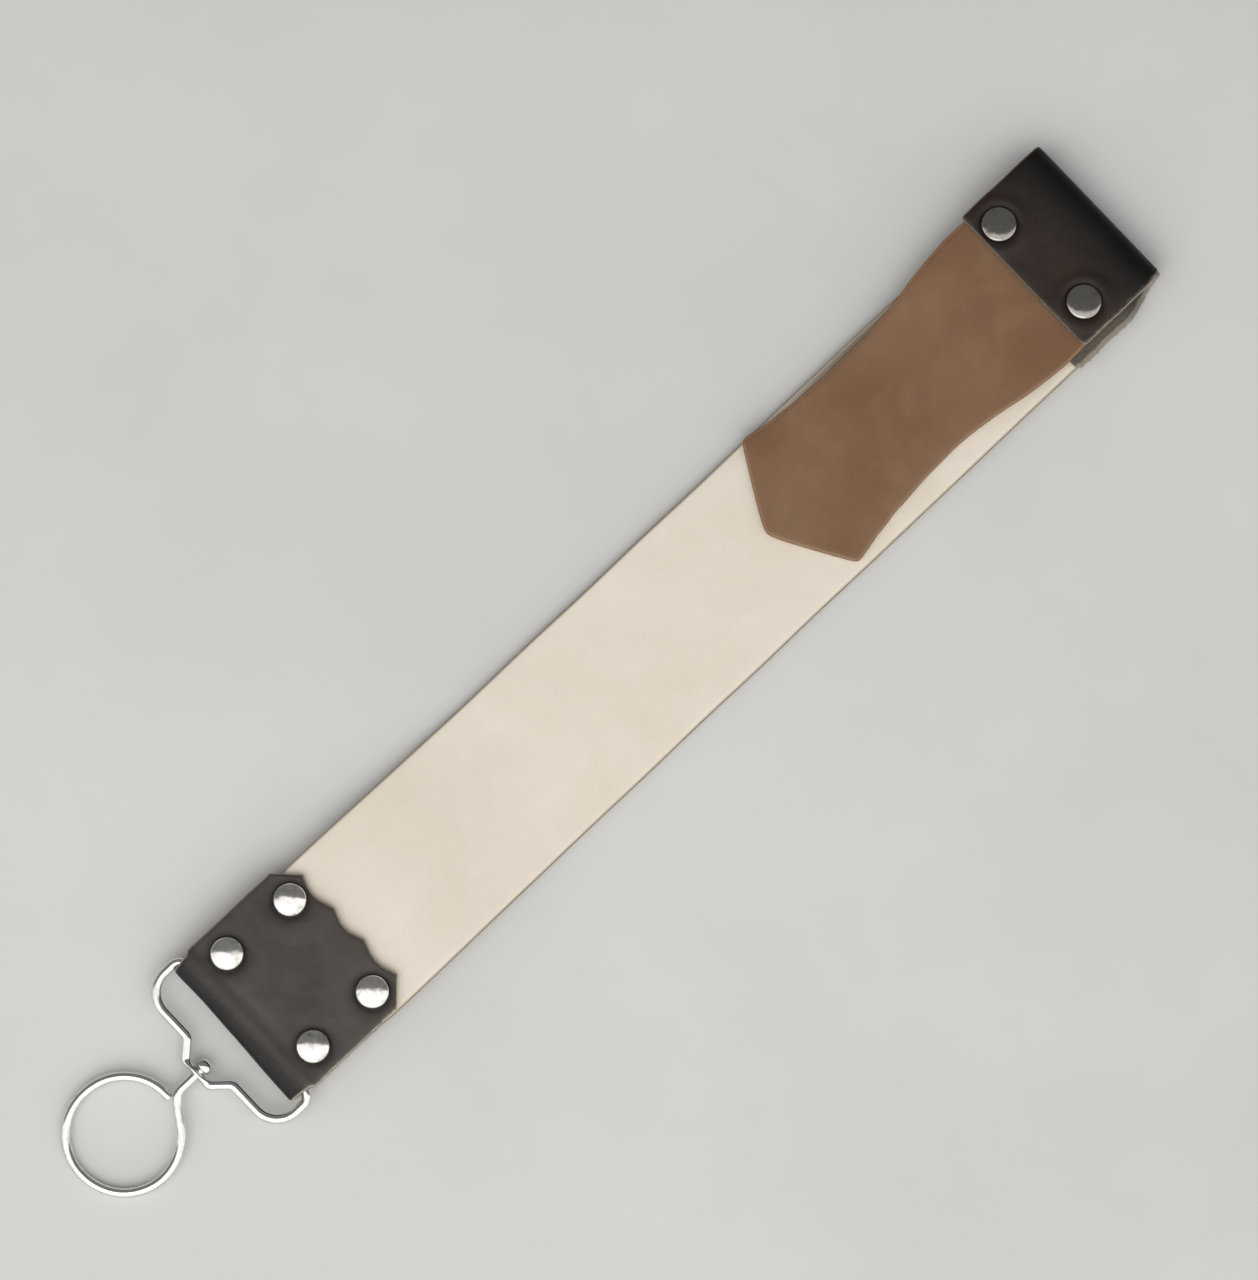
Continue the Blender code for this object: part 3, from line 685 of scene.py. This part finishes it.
# ---- handle leather
def handle_half(x):
    """Half width of the handle leather behind its corners, x metres from the bar."""
    flare = np.clip((HANDLE_WAIST - x) / (HANDLE_WAIST - HANDLE_CORNER), 0.0, 1.0)
    front = HALF_WAIST + (HALF_CORNER - HALF_WAIST) * flare ** 2
    rear = (HALF_SHOULDER - HALF_WAIST) * smooth(HANDLE_WAIST, HANDLE_SHOULDER, x)
    return front + rear


def handle_bottom(x):
    """The leather lies on the strap, then climbs over the inner flap of the top fold."""
    step = HANDLE_Z - (TOP_STRAP_Z + STRAP_THICKNESS + GAP)
    return strap_bottom(x) + STRAP_THICKNESS + GAP + step * smooth(*HANDLE_STEP, x)


def make_handle(finish):
    """One leather, still at its riveted end, whose free end stands up a little."""
    plain = stations(HANDLE_TIP, HANDLE_END, 0.95 * MM)
    share = np.linspace(-1.0, 1.0, 61)
    blunt = HANDLE_BLUNT
    point = (np.sqrt(share ** 2 + blunt ** 2) - blunt) / (sqrt(1.0 + blunt ** 2) - blunt)
    edge_x = (HANDLE_CORNER - HANDLE_TIP) * point ** 1.06
    keep = 1.0 - smooth(0.0, HANDLE_POINT_FADE, plain - HANDLE_TIP)
    x = plain[:, None] + edge_x * keep[:, None]
    half = handle_half(x[:, -1]) + 0.12 * MM * ripples(plain, 0.0, 22.0 * MM, 21)
    along = (x - HANDLE_TIP) / (HANDLE_END - HANDLE_TIP)
    y = HANDLE_TIP_Y + (HANDLE_END_Y - HANDLE_TIP_Y) * along + half[:, None] * share
    y = y + HANDLE_UNEVEN * bell(x, HANDLE_WAIST, 26.0 * MM) * smooth(0.0, 1.0, share)
    curl = bell(x, HANDLE_TIP + 4.0 * MM, 16.0 * MM) * (0.4 + 0.6 * share ** 2)
    z = handle_bottom(x) + HANDLE_THICKNESS / 2 + HANDLE_CURL * curl
    normal = level_normals(handle_bottom, x.ravel()).reshape(x.shape + (2,))
    middle = np.dstack([BAR.x + x, y, z])
    normals = unit(np.dstack([normal[:, :, 0], np.zeros_like(x), normal[:, :, 1]]))
    flat = np.dstack([x, y])
    uneven = waves(flat, 31, (0.09 * MM, 26.0 * MM), (0.03 * MM, 8.0 * MM))
    ahead = np.minimum(from_side(half, share), (plain - HANDLE_TIP)[:, None])
    rounding = -0.30 * MM * np.exp(-ahead / (1.0 * MM))
    piece = sheet("handle_leather", middle, normals, flat, HANDLE_THICKNESS, 0.6 * MM, finish,
                  uneven + rounding, 0.5 * rounding, TOP_RIVETS, 3)
    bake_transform(piece)
    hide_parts("handle_leaf", "handle_fixed_end")


# ---- lower fold
def fold_edge(share):
    """How far the fold's free edge falls short of its longest points."""
    half = FOLD_WIDTH / 2
    corner = half - FOLD_CORNER
    place = share * half / corner
    short = np.maximum(np.abs(share) * half - corner, 0.0)
    for low, high in zip(FOLD_CUSPS, FOLD_CUSPS[1:]):
        inside = (place >= low) & (place <= high)
        hollow = np.sin(pi * np.clip((place - low) / (high - low), 0.0, 1.0))
        short = np.where(inside, SCALLOP_DEPTH * hollow ** 1.25, short)
    return short


def fold_line():
    """Middle line of the lower fold in XZ about the bar, from the back flap to the front flap."""
    radius = FOLD_BORE + FOLD_THICKNESS / 2
    level = (STRAP_THICKNESS + FOLD_THICKNESS) / 2 + GAP
    flap = stations(FOLD_REACH - BAR.x, 0.0, FINE_STEP)
    height = level + (radius - level) * (1.0 - smooth(0.0, FOLD_NECK_END, flap))
    height = height - 0.25 * MM * bell(flap, 6.2 * MM, 2.4 * MM)
    turn = np.linspace(0.0, pi, 19)[1:-1]
    back = np.column_stack([flap, -height])
    bend = np.column_stack([-radius * np.sin(turn), -radius * np.cos(turn)])
    return np.vstack([back, bend, np.column_stack([flap, height])[::-1]])


def make_lower_fold(finish):
    line = fold_line()
    corner = 1.0 - FOLD_CORNER / (FOLD_WIDTH / 2)
    keys = [-1.0] + [cusp * corner for cusp in FOLD_CUSPS] + [1.0]
    share = [-1.0]
    for low, high in zip(keys, keys[1:]):
        share.extend(stations(low, high, FINE_STEP / (FOLD_WIDTH / 2))[1:])
    share = np.array(share)
    x = line[:, 0]
    wide = FOLD_SIDE_SHARE * smooth(*FOLD_SIDE_TURN, x)
    wide = wide + (1.0 - FOLD_SIDE_SHARE) * smooth(*FOLD_SIDE_STEP, x)
    half = (FOLD_NECK + (FOLD_WIDTH - FOLD_NECK) * wide) / 2
    half = half + 0.12 * MM * ripples(x, line[:, 1], 20.0 * MM, 41)
    y = FOLD_CENTRE_Y + half[:, None] * share

    # the -Y side is cut raggedly, away from the crossbar
    along = lengths_of(line)
    away_from_bar = smooth(2.0 * MM, 8.0 * MM, x)
    ragged = 0.16 * ripples(along, 0.0, 3.4 * MM, 45) + 0.10 * ripples(along, 0.0, 1.9 * MM, 46)
    y[:, 0] += ragged * away_from_bar * MM
    lip = np.full(y.shape, 0.55 * MM)
    lip[:, 0] += 0.18 * MM + 0.14 * MM * ripples(along, 0.0, 4.0 * MM, 47)
    run = np.gradient(line, axis=0)
    outward = np.column_stack([-run[:, 1], run[:, 0]])
    middle, normals, flat = ribbon(line + np.array([BAR.x, BAR.z]), outward, y)

    # the corners and scallops of the free edge, and the slack of the turn
    reach = FOLD_REACH - BAR.x
    follow = np.clip((x - (reach - FOLD_CORNER_ZONE)) / FOLD_CORNER_ZONE, 0.0, 1.0)
    short = fold_edge(share) + 0.12 * MM * ripples(share * 30.0 * MM, 0.0, 5.0 * MM, 42)
    slack = FOLD_SLACK * np.minimum(x, 0.0)
    middle[:, :, 0] -= follow[:, None] * short
    middle[:, :, 0] += slack[:, None] * smooth(0.6, -1.0, share)
    flap = np.sign(line[:, 1])[:, None]
    flat[:, :, 0] -= flap * follow[:, None] * short

    # pressed in round the rivets, a ridge and a groove beside the crossbar, rounded cut edges
    gap = near_rivets(middle[:, :, 0], middle[:, :, 1], LOWER_RIVETS)
    dimple = -0.50 * MM * np.exp(-np.maximum(gap - 4.6 * MM, 0.0) ** 2 / (2.4 * MM) ** 2)
    swell = 0.16 * MM * bell(gap, 11.0 * MM, 3.4 * MM)
    flatness = away_from_bar[:, None]
    uneven = waves(flat, 43, (0.10 * MM, 22.0 * MM), (0.03 * MM, 6.0 * MM))
    free = (reach - x)[:, None]
    rounding = -0.25 * MM * np.exp(-np.minimum(from_side(half, share), free) / EDGE_ROUND)
    ridge = 0.28 * bell(x, 2.2 * MM, 1.9 * MM) - 0.34 * bell(x, -1.1 * MM, 1.0 * MM)
    ridge = np.where(line[:, 1] > 0.0, ridge, 0.0)[:, None] * MM
    front = (dimple + swell) * flatness + uneven + rounding + ridge
    back = np.broadcast_to(0.3 * rounding - 0.05 * MM, front.shape)
    # darkened round the rivets: partly pressed leather, partly painted shade of the dimples and the
    # caps' contact shadows; and painted shade over the roll round the crossbar, where the leather
    # turns away from the light
    press_and_shade = np.exp(-np.maximum(gap - 6.3 * MM, 0.0) / (1.2 * MM)) * flatness
    painted_shade = np.broadcast_to(1.0 - smooth(-1.6 * MM, 2.6 * MM, x)[:, None], gap.shape)
    piece = sheet("lower_fold_leather", middle, normals, flat, FOLD_THICKNESS, lip, finish,
                  front, back, LOWER_RIVETS, 0, (press_and_shade, painted_shade, np.zeros(gap.shape)))
    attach(piece, "strop")
    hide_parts("lower_fold")


# ---- top fold
def top_line():
    """Middle line of the top fold in XZ, x from the bar: inner flap, drooping loop, front flap."""
    inner = TOP_INNER_Z + TOP_THICKNESS / 2
    front = TOP_FRONT_Z + TOP_THICKNESS / 2
    low = inner - TOP_DROOP
    x = stations(TOP_INNER_EDGE, TOP_TURN, FINE_STEP)
    under = np.column_stack([x, inner - TOP_DROOP * smooth(TOP_DROOP_START, TOP_TURN, x)])
    reach = TOP_LOOP_END - TOP_THICKNESS / 2 - TOP_TURN
    turn = np.linspace(0.0, pi, 23)[1:-1]
    bend = np.column_stack([TOP_TURN + reach * np.sin(turn),
                            (low + front) / 2 - (front - low) / 2 * np.cos(turn)])
    x = stations(TOP_TURN, TOP_FRONT_EDGE, FINE_STEP)
    over = np.column_stack([x, np.full(len(x), front)])
    return np.vstack([under, bend, over])


def make_top_fold(finish):
    line = top_line()
    lengths = lengths_of(line)
    loop_start = TOP_TURN - TOP_INNER_EDGE
    loop_end = lengths[-1] - (TOP_TURN - TOP_FRONT_EDGE)
    loop_middle = (loop_start + loop_end) / 2
    turned_over = smooth(loop_start - TOP_SHIFT_LEAD, loop_middle, lengths)
    centre = TOP_INNER_Y + (TOP_FRONT_Y - TOP_INNER_Y) * turned_over
    centre = centre + 0.12 * MM * ripples(lengths, 0.0, 18.0 * MM, 51)
    raw_share = RAW_EDGE * 2 / TOP_WIDTH - 1.0
    share = np.concatenate([[-1.0], np.linspace(raw_share, 1.0, 64)])
    y = centre[:, None] + TOP_WIDTH / 2 * share

    # the -Y side is torn and frayed up to the middle of the loop
    raw = 1.0 - smooth(loop_middle, loop_end - 1.0 * MM, lengths)
    ragged = 0.22 * ripples(lengths, 0.0, 3.2 * MM, 55) + 0.14 * ripples(lengths, 0.0, 1.9 * MM, 56)
    y[:, 0] += ragged * (0.25 + 0.75 * raw) * MM
    lip = np.full(y.shape, 0.5 * MM)
    lip[:, 0] += raw * (0.85 + 0.32 * ripples(lengths, 0.0, 4.0 * MM, 57)) * MM
    torn = (0.28 + 0.50 * raw)[:, None] * smooth(raw_share, -1.0, share)
    run = np.gradient(line, axis=0)
    outward = np.column_stack([run[:, 1], -run[:, 0]])
    middle, normals, flat = ribbon(line + np.array([BAR.x, 0.0]), outward, y)

    # pressed in round the rivets, rounded cut edges, painted shade where it turns down away from
    # the light
    on_front = smooth(loop_end - 4.0 * MM, loop_end + 4.0 * MM, lengths)[:, None]
    gap = near_rivets(middle[:, :, 0], middle[:, :, 1], TOP_RIVETS)
    dimple = -0.55 * MM * np.exp(-np.maximum(gap - 5.0 * MM, 0.0) ** 2 / (1.6 * MM) ** 2)
    swell = 0.42 * MM * bell(gap, 8.2 * MM, 2.2 * MM)
    uneven = waves(flat, 53, (0.10 * MM, 24.0 * MM), (0.03 * MM, 6.0 * MM))
    side = TOP_WIDTH / 2 * (1.0 - np.abs(share))
    free = np.minimum(lengths, lengths[-1] - lengths)[:, None]
    rounding = -0.22 * MM * np.exp(-np.minimum(side, free) / EDGE_ROUND)
    front = (dimple + swell) * on_front + uneven * on_front + rounding
    back = np.broadcast_to(0.3 * rounding - 0.05 * MM, front.shape)
    # darkened round the rivets: partly pressed leather, partly painted shade of the dimples
    press_and_shade = 0.7 * np.exp(-np.maximum(gap - 5.8 * MM, 0.0) / (0.8 * MM)) * on_front
    # painted shade over the loop where it turns down away from the light
    turned_down = smooth(loop_end + 15.0 * MM, loop_end - 3.0 * MM, lengths)[:, None]
    painted_shade = np.broadcast_to(0.95 * turned_down, gap.shape)
    piece = sheet("top_fold_leather", middle, normals, flat, TOP_THICKNESS, lip, finish,
                  front, back, TOP_RIVETS, 2, (press_and_shade, painted_shade, torn))
    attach(piece, "strop")
    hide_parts("top_fold")


# ---- rivets
RIVET_SIDES = 72
DENT_LENGTH = 4.2 * MM
CHAMFER = 0.1 * MM
CAP_SOCKET = 2.0 * MM
CAP_DEPTH = 1.1 * MM
CAP_ROUND = 0.45 * MM
POST_RADIUS = 1.7 * MM
POST_GRIP = 0.8 * MM  # how far the post reaches into the cap
FLANGE = 1.6 * MM  # thickness of a back cap


def turned(name, profile, finish, x, y, z, dents=0.0, seed=0, lean=(0.0, 0.0)):
    """A solid turned about Z from (radius, height) points, both ends on the axis.

    dents is how deep its surface is beaten, and lean the slope of its crown in x and y.
    """
    ring = np.arange(RIVET_SIDES) * tau / RIVET_SIDES
    vertices = [(x, y, z + profile[0][1])]
    tallest = max(height for _, height in profile)
    for radius, height in profile[1:-1]:
        dent = dents * ripples(radius * np.cos(ring), radius * np.sin(ring), DENT_LENGTH, seed)
        dent = dent - height / tallest * radius * (lean[0] * np.cos(ring) + lean[1] * np.sin(ring))
        for angle, low in zip(ring, dent):
            vertices.append((x + radius * cos(angle), y + radius * sin(angle),
                             z + height + low))
    middle_dent = dents * float(ripples(0.0, 0.0, DENT_LENGTH, seed))
    vertices.append((x, y, z + profile[-1][1] + middle_dent))
    rows = len(profile) - 2
    faces = []
    for k in range(RIVET_SIDES):
        after = (k + 1) % RIVET_SIDES
        faces.append((0, 1 + k, 1 + after))
        for r in range(rows - 1):
            low = 1 + r * RIVET_SIDES
            faces.append((low + k, low + RIVET_SIDES + k, low + RIVET_SIDES + after, low + after))
        last = 1 + (rows - 1) * RIVET_SIDES
        faces.append((last + k, len(vertices) - 1, last + after))
    return new_mesh(name, vertices, faces, finish)


def cap_profile(radius, height, flatness):
    """A cap with a socket below, a rounded rim and a dome; flatness above 2 flattens the crown."""
    rim = 0.28 * height
    points = [(0.0, CAP_DEPTH), (CAP_SOCKET * 0.6, CAP_DEPTH), (CAP_SOCKET, CAP_DEPTH),
              (CAP_SOCKET, CHAMFER), (CAP_SOCKET + CHAMFER, 0.0), (radius * 0.6, 0.0),
              (radius - CAP_ROUND, 0.0)]
    for k in range(1, 5):
        angle = -pi / 2 + pi / 2 * k / 5
        points.append((radius - CAP_ROUND + CAP_ROUND * cos(angle),
                       rim * (0.6 + 0.6 * sin(angle))))
    for k in range(19):
        angle = pi / 2 * k / 19
        points.append((radius * cos(angle),
                       rim + (height - rim) * sin(angle) ** (2.0 / flatness)))
    return points + [(0.0, height)]


def post_profile(radius, tip):
    """A rounded back cap with a post that stands up to tip."""
    profile = [(0.0, 0.0)]
    for k in range(1, 9):
        angle = pi / 2 * k / 9
        profile.append((radius * sin(angle), 0.75 * FLANGE * (1.0 - cos(angle)) ** 0.9))
    profile += [(radius, 0.8 * FLANGE), (radius * 0.99, 0.93 * FLANGE), (radius * 0.96, FLANGE)]
    profile += [(radius * 0.6, FLANGE), (POST_RADIUS + CHAMFER, FLANGE)]
    profile += [(POST_RADIUS, FLANGE + CHAMFER), (POST_RADIUS, tip - 0.2 * MM)]
    return profile + [(POST_RADIUS - 0.2 * MM, tip), (0.0, tip)]


def make_rivets(finish, row, rivets, sink, flatness, dents, lean):
    """Front caps sunk a little into the leather, and back caps with their posts."""
    for number, (x, y, low, high, radius) in enumerate(rivets, 1):
        base = low - sink
        seed = 60 + 7 * number + len(row)
        cap = turned(f"cap_{row}_{number}", cap_profile(radius, high - base, flatness), finish,
                     x, y, base, dents, seed, lean)
        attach(cap, "strop")
        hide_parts(f"rivet_cap_{row}_{number}")
        post = turned(f"post_{row}_{number}", post_profile(radius, base + POST_GRIP), finish,
                      x, y, 0.0)
        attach(post, "strop")
        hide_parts(f"rivet_post_{row}_{number}")


# ---- wire
def rounded_path(corners, radii, step):
    """Straight runs through the corners, with an arc of its own radius at each inner corner."""
    path = [Vector(corners[0])]

    def straight(end):
        start = path[-1]
        count = max(1, round((end - start).length / step))
        for k in range(1, count + 1):
            path.append(start.lerp(end, k / count))

    for before, corner, after, radius in zip(corners, corners[1:], corners[2:], radii):
        corner = Vector(corner)
        come = (corner - Vector(before)).normalized()
        leave = (Vector(after) - corner).normalized()
        turn = come.angle(leave)
        side = (leave - come * come.dot(leave)).normalized()
        straight(corner - come * radius * tan(turn / 2))
        centre = path[-1] + side * radius
        count = max(4, round(turn * radius / step) + 3)
        for k in range(1, count + 1):
            angle = turn * k / count
            arc = side * (radius * cos(angle)) - come * (radius * sin(angle))
            path.append(centre - arc)
    straight(Vector(corners[-1]))
    return path


def swept(name, path, sizes, finish, place):
    """An ellipse swept along a path in a plane, with rounded ends, put in place by a matrix."""
    path = np.array([tuple(p)[:2] for p in path])
    sizes = np.array(sizes)
    run = unit(np.gradient(path, axis=0))
    aside = np.column_stack([-run[:, 1], run[:, 0]])
    ring = np.arange(WIRE_SIDES) * tau / WIRE_SIDES
    vertices = []
    for point, across, (wide, tall) in zip(path, aside, sizes):
        flat = point + across * (wide * np.cos(ring))[:, None]
        vertices.append(np.column_stack([flat, tall * np.sin(ring)]))
    vertices = np.vstack(vertices)
    faces = [tuple(range(WIRE_SIDES))]
    for i in range(len(path) - 1):
        low = i * WIRE_SIDES
        for k in range(WIRE_SIDES):
            after = (k + 1) % WIRE_SIDES
            faces.append((low + k, low + after, low + WIRE_SIDES + after, low + WIRE_SIDES + k))
    last = (len(path) - 1) * WIRE_SIDES
    faces.append(tuple(last + k for k in range(WIRE_SIDES)))
    moved = vertices @ np.array(place.to_3x3()).T + np.array(place.translation)
    return new_mesh(name, moved, faces, finish)


def hanging():
    """A matrix that puts the wire's plane on the bar, tipped as the shank's axis is."""
    return Matrix.Translation(BAR) @ Matrix.Rotation(-asin(abs(SHANK.z)), 4, "Y")


def make_bail(finish, place):
    """One bent wire, flattened and drilled at the hump for the ring's shank."""
    half = [(0.0, BAIL_HALF), (-BAIL_RUN, BAIL_HALF), (-BAIL_RUN, HUMP_FOOT),
            (-BAIL_HUMP, HUMP_TOP)]
    mirrored = [(x, -y) for x, y in reversed(half)]
    corners = [(0.0, BUTT_GAP)] + half + mirrored + [(0.0, -BUTT_GAP)]
    path = rounded_path(corners, BAIL_BENDS + BAIL_BENDS[::-1], WIRE_STEP)
    sizes = []
    for point in path:
        flat = 1.0 - float(smooth(EYE_HALF - EYE_FADE / 2, EYE_HALF + EYE_FADE, abs(point.y)))
        if point.x > -BAIL_RUN:
            flat = 0.0
        sizes.append((WIRE + (EYE_THIN - WIRE) * flat, WIRE + (EYE_TALL - WIRE) * flat))
    bail = swept("bail_bent_wire", path, sizes, finish, place)
    mesh = bpy.data.meshes.new("eye_drill")
    shape = bmesh.new()
    turn = place @ Matrix.Translation((-BAIL_HUMP, 0.0, 0.0)) @ Matrix.Rotation(pi / 2, 4, "Y")
    bore = WIRE + GAP
    bmesh.ops.create_cone(shape, cap_ends=True, segments=40, radius1=bore, radius2=bore,
                          depth=6.0 * WIRE, matrix=turn)
    shape.to_mesh(mesh)
    shape.free()
    drill = in_scene("eye_drill", mesh)
    cut = bail.modifiers.new("eye", "BOOLEAN")
    cut.operation = "DIFFERENCE"
    cut.object = drill
    solved = bail.evaluated_get(bpy.context.evaluated_depsgraph_get())
    bail.data = bpy.data.meshes.new_from_object(solved)
    bail.modifiers.clear()
    bpy.data.objects.remove(drill)
    bail.data.shade_smooth()
    bail.data.set_sharp_from_angle(angle=radians(40))
    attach(bail, "bail_wire")
    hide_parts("bail")


def make_ring(finish, place):
    """One bent wire: a round head, the shank through the bail's eye, and an open ring."""
    path = []
    sizes = []
    crown = HEAD_LENGTH * 0.56
    for angle in np.linspace(0.04, pi / 2, 12):
        path.append(Vector((-HEAD_BACK + HEAD_LENGTH - crown * (1.0 - cos(angle)), 0.0)))
        sizes.append(HEAD_RADIUS * sin(angle))
    rest = HEAD_LENGTH - crown
    for share in np.linspace(0.15, 1.0, 9):
        path.append(Vector((-HEAD_BACK + rest * (1.0 - share), 0.0)))
        sizes.append(WIRE + (HEAD_RADIUS - WIRE) * sqrt(max(0.0, 1.0 - share ** 3.2)))
    for x in stations(HEAD_BACK + 0.4 * MM, SHANK_END, WIRE_STEP):
        path.append(Vector((-x, 0.0)))
    centre = Vector((-RING_X, RING_Y))
    join = centre + RING_RADIUS * Vector((cos(RING_JOIN), sin(RING_JOIN)))
    heading = Vector((sin(RING_JOIN), -cos(RING_JOIN)))
    leave, arrive = RING_SWING
    controls = (path[-1], path[-1] - Vector((leave, 0.0)), join - heading * arrive, join)
    for t in np.arange(1, 24) / 24:
        weights = ((1 - t) ** 3, 3 * t * (1 - t) ** 2, 3 * t * t * (1 - t), t ** 3)
        path.append(sum((c * float(w) for c, w in zip(controls, weights)), Vector((0.0, 0.0))))
    for angle in np.linspace(RING_JOIN, RING_TAIL - tau, 190):
        wobble = RING_WOBBLE[0] * sin(3.0 * angle + 0.6)
        wobble = wobble + RING_WOBBLE[1] * sin(7.0 * angle)
        path.append(centre + (RING_RADIUS + wobble) * Vector((cos(angle), sin(angle))))
    sizes += [WIRE] * (len(path) - len(sizes))
    for back, size in enumerate(CUT_END, 1):
        sizes[-back] = WIRE * size
    ring = swept("ring_bent_wire", path, [(size, size) for size in sizes], finish, place)
    ring.data.set_sharp_from_angle(angle=radians(60))
    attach(ring, "ring_wire")
    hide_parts("swivel_ring")


# ---- stage
RIGHT = Vector((0.7266, -0.6871, 0.0))
UP = Vector((0.6871, 0.7266, 0.0))
SKY = Vector((0.0, 0.0, 1.0))
AIM = Vector((21.3 * MM, 6.8 * MM, 0.0))
DISTANCE = 2.4
TILT = radians(5.0)
VIEW_HEIGHT = 430.1 * MM
SENSOR = 36.0
FLOOR_SIZE = 3.0
FLOOR_Z = -0.1 * MM
ROOM_DIM = 0.20  # the room is dim on the picture's upper side
ROOM_BRIGHT = 1.22
ROOM_EDGE = (-0.15, -0.07)
ROOM_COLOUR = (1.0, 0.99, 0.98, 1.0)
KEY_PLACE = AIM - UP * 0.62 - RIGHT * 0.25 + SKY * 0.80
KEY_SIZE = (1.2, 0.9)
KEY_POWER = 4.0
KEY_COLOUR = (1.0, 0.99, 0.975)


def facing(right, up, back, place):
    """The matrix of a camera or light at place, from its own three directions."""
    return Matrix.Translation(place) @ Matrix((right, up, back)).transposed().to_4x4()


def make_camera():
    data = bpy.data.cameras.new("camera")
    camera = in_scene("camera", data)
    back = SKY * cos(TILT) - UP * sin(TILT)
    up = UP * cos(TILT) + SKY * sin(TILT)
    camera.matrix_world = facing(RIGHT, up, back, AIM + back * DISTANCE)
    data.sensor_width = SENSOR
    data.lens = SENSOR * DISTANCE / VIEW_HEIGHT
    data.clip_end = 20.0
    bpy.context.scene.camera = camera


def make_softbox():
    data = bpy.data.lights.new("key", "AREA")
    data.shape = "RECTANGLE"
    data.size, data.size_y = KEY_SIZE
    data.energy = KEY_POWER
    data.color = KEY_COLOUR
    light = in_scene("key", data)
    light.visible_camera = False
    back = (KEY_PLACE - AIM).normalized()
    light.matrix_world = facing(RIGHT, back.cross(RIGHT), back, KEY_PLACE)


def make_room():
    """A world that is bright on the picture's lower side and dim on its upper side."""
    world = bpy.data.worlds.new("studio")
    bpy.context.scene.world = world
    world.use_nodes = True
    tree = world.node_tree
    toward = tree.nodes.new("ShaderNodeVectorMath")
    toward.operation = "DOT_PRODUCT"
    toward.inputs[1].default_value = -UP
    around = tree.nodes.new("ShaderNodeTexCoord").outputs["Generated"]
    tree.links.new(around, toward.inputs[0])
    side = tree.nodes.new("ShaderNodeMapRange")
    side.interpolation_type = "SMOOTHSTEP"
    limits = (*ROOM_EDGE, ROOM_DIM, ROOM_BRIGHT)
    for key, value in zip(("From Min", "From Max", "To Min", "To Max"), limits):
        side.inputs[key].default_value = value
    tree.links.new(toward.outputs["Value"], side.inputs["Value"])
    tree.nodes["Background"].inputs["Color"].default_value = ROOM_COLOUR
    tree.links.new(side.outputs[0], tree.nodes["Background"].inputs["Strength"])


def make_stage():
    mesh = bpy.data.meshes.new("floor")
    shape = bmesh.new()
    bmesh.ops.create_grid(shape, x_segments=2, y_segments=2, size=FLOOR_SIZE)
    shape.to_mesh(mesh)
    shape.free()
    mesh.materials.append(pale_floor())
    floor = in_scene("floor", mesh)
    floor.location = (0.0, 0.0, FLOOR_Z)
    make_room()
    make_softbox()
    bpy.context.scene.view_settings.view_transform = "Standard"


make_camera()
# the strap's darkening colour is only the painted shadow beside the handle's waist
make_strap(leather(
    "natural_hide", ((220, 210, 194), (227, 218, 204), (234, 227, 215)),
    flesh=((190, 168, 138), (218, 200, 172)), edge=((92, 80, 64), (138, 122, 100)),
    rim=(184, 170, 148), press_shade_tone=(112, 97, 78), wide=(0.028, 0.3), clouds=(0.05, 0.3),
    roughness=(0.50, 0.62), grain=0.26, scratch=0.10))
# the tan hide's rim is lighter: a painted highlight along the point's cut edges
make_handle(leather(
    "tan_hide", ((117, 85, 61), (125, 96, 71), (144, 117, 90)),
    flesh=((140, 110, 82), (170, 142, 108)), edge=((96, 70, 50), (140, 108, 80)),
    rim=(146, 118, 90), press_shade_tone=(92, 66, 48), wide=(0.022, 0.45), clouds=(0.045, 0.4),
    roughness=(0.42, 0.58), grain=0.3, scratch=0.16))
# the dark hide's darkening colour is pressed leather round the rivets and painted shade of the
# dimples and of the roll round the crossbar
make_lower_fold(leather(
    "dark_hide", ((64, 57, 54), (73, 67, 63), (85, 79, 73)),
    flesh=((66, 58, 50), (88, 78, 67)), edge=((116, 110, 99), (172, 166, 153)),
    rim=(99, 93, 85), press_shade_tone=(19, 16, 14), wide=(0.028, 0.5), clouds=(0.07, 0.45),
    roughness=(0.34, 0.48), grain=0.32, scratch=0.18))
# the brown hide's darkening colour is pressed leather round the rivets and painted shade where the
# loop turns down
make_top_fold(leather(
    "brown_hide", ((37, 27, 22), (46, 36, 29), (56, 46, 37)),
    flesh=((78, 72, 63), (104, 98, 87)), edge=((78, 72, 62), (116, 110, 98)),
    rim=(58, 49, 41), press_shade_tone=(9, 6, 5), wide=(0.028, 0.5), clouds=(0.07, 0.45),
    roughness=(0.36, 0.52), grain=0.32, scratch=0.14, fray=(136, 130, 119)))
# the top rivets at the handle end get painted shade for their darker reflections
plated = nickel("rivet_plating", (234, 232, 228), (164, 158, 150), (0.12, 0.24), 0.4, painted_dimming=0.68)
make_rivets(plated, "lower", LOWER_RIVETS, sink=0.7 * MM, flatness=2.1, dents=0.035 * MM,
            lean=(0.0, 0.0))
make_rivets(plated, "top", TOP_RIVETS, sink=0.6 * MM, flatness=7.0, dents=0.022 * MM,
            lean=(0.080, 0.070))
wire = nickel("wire_plating", (230, 230, 228), (204, 202, 198), (0.08, 0.18), 0.07)
make_bail(wire, hanging())
make_ring(wire, hanging())
make_stage()
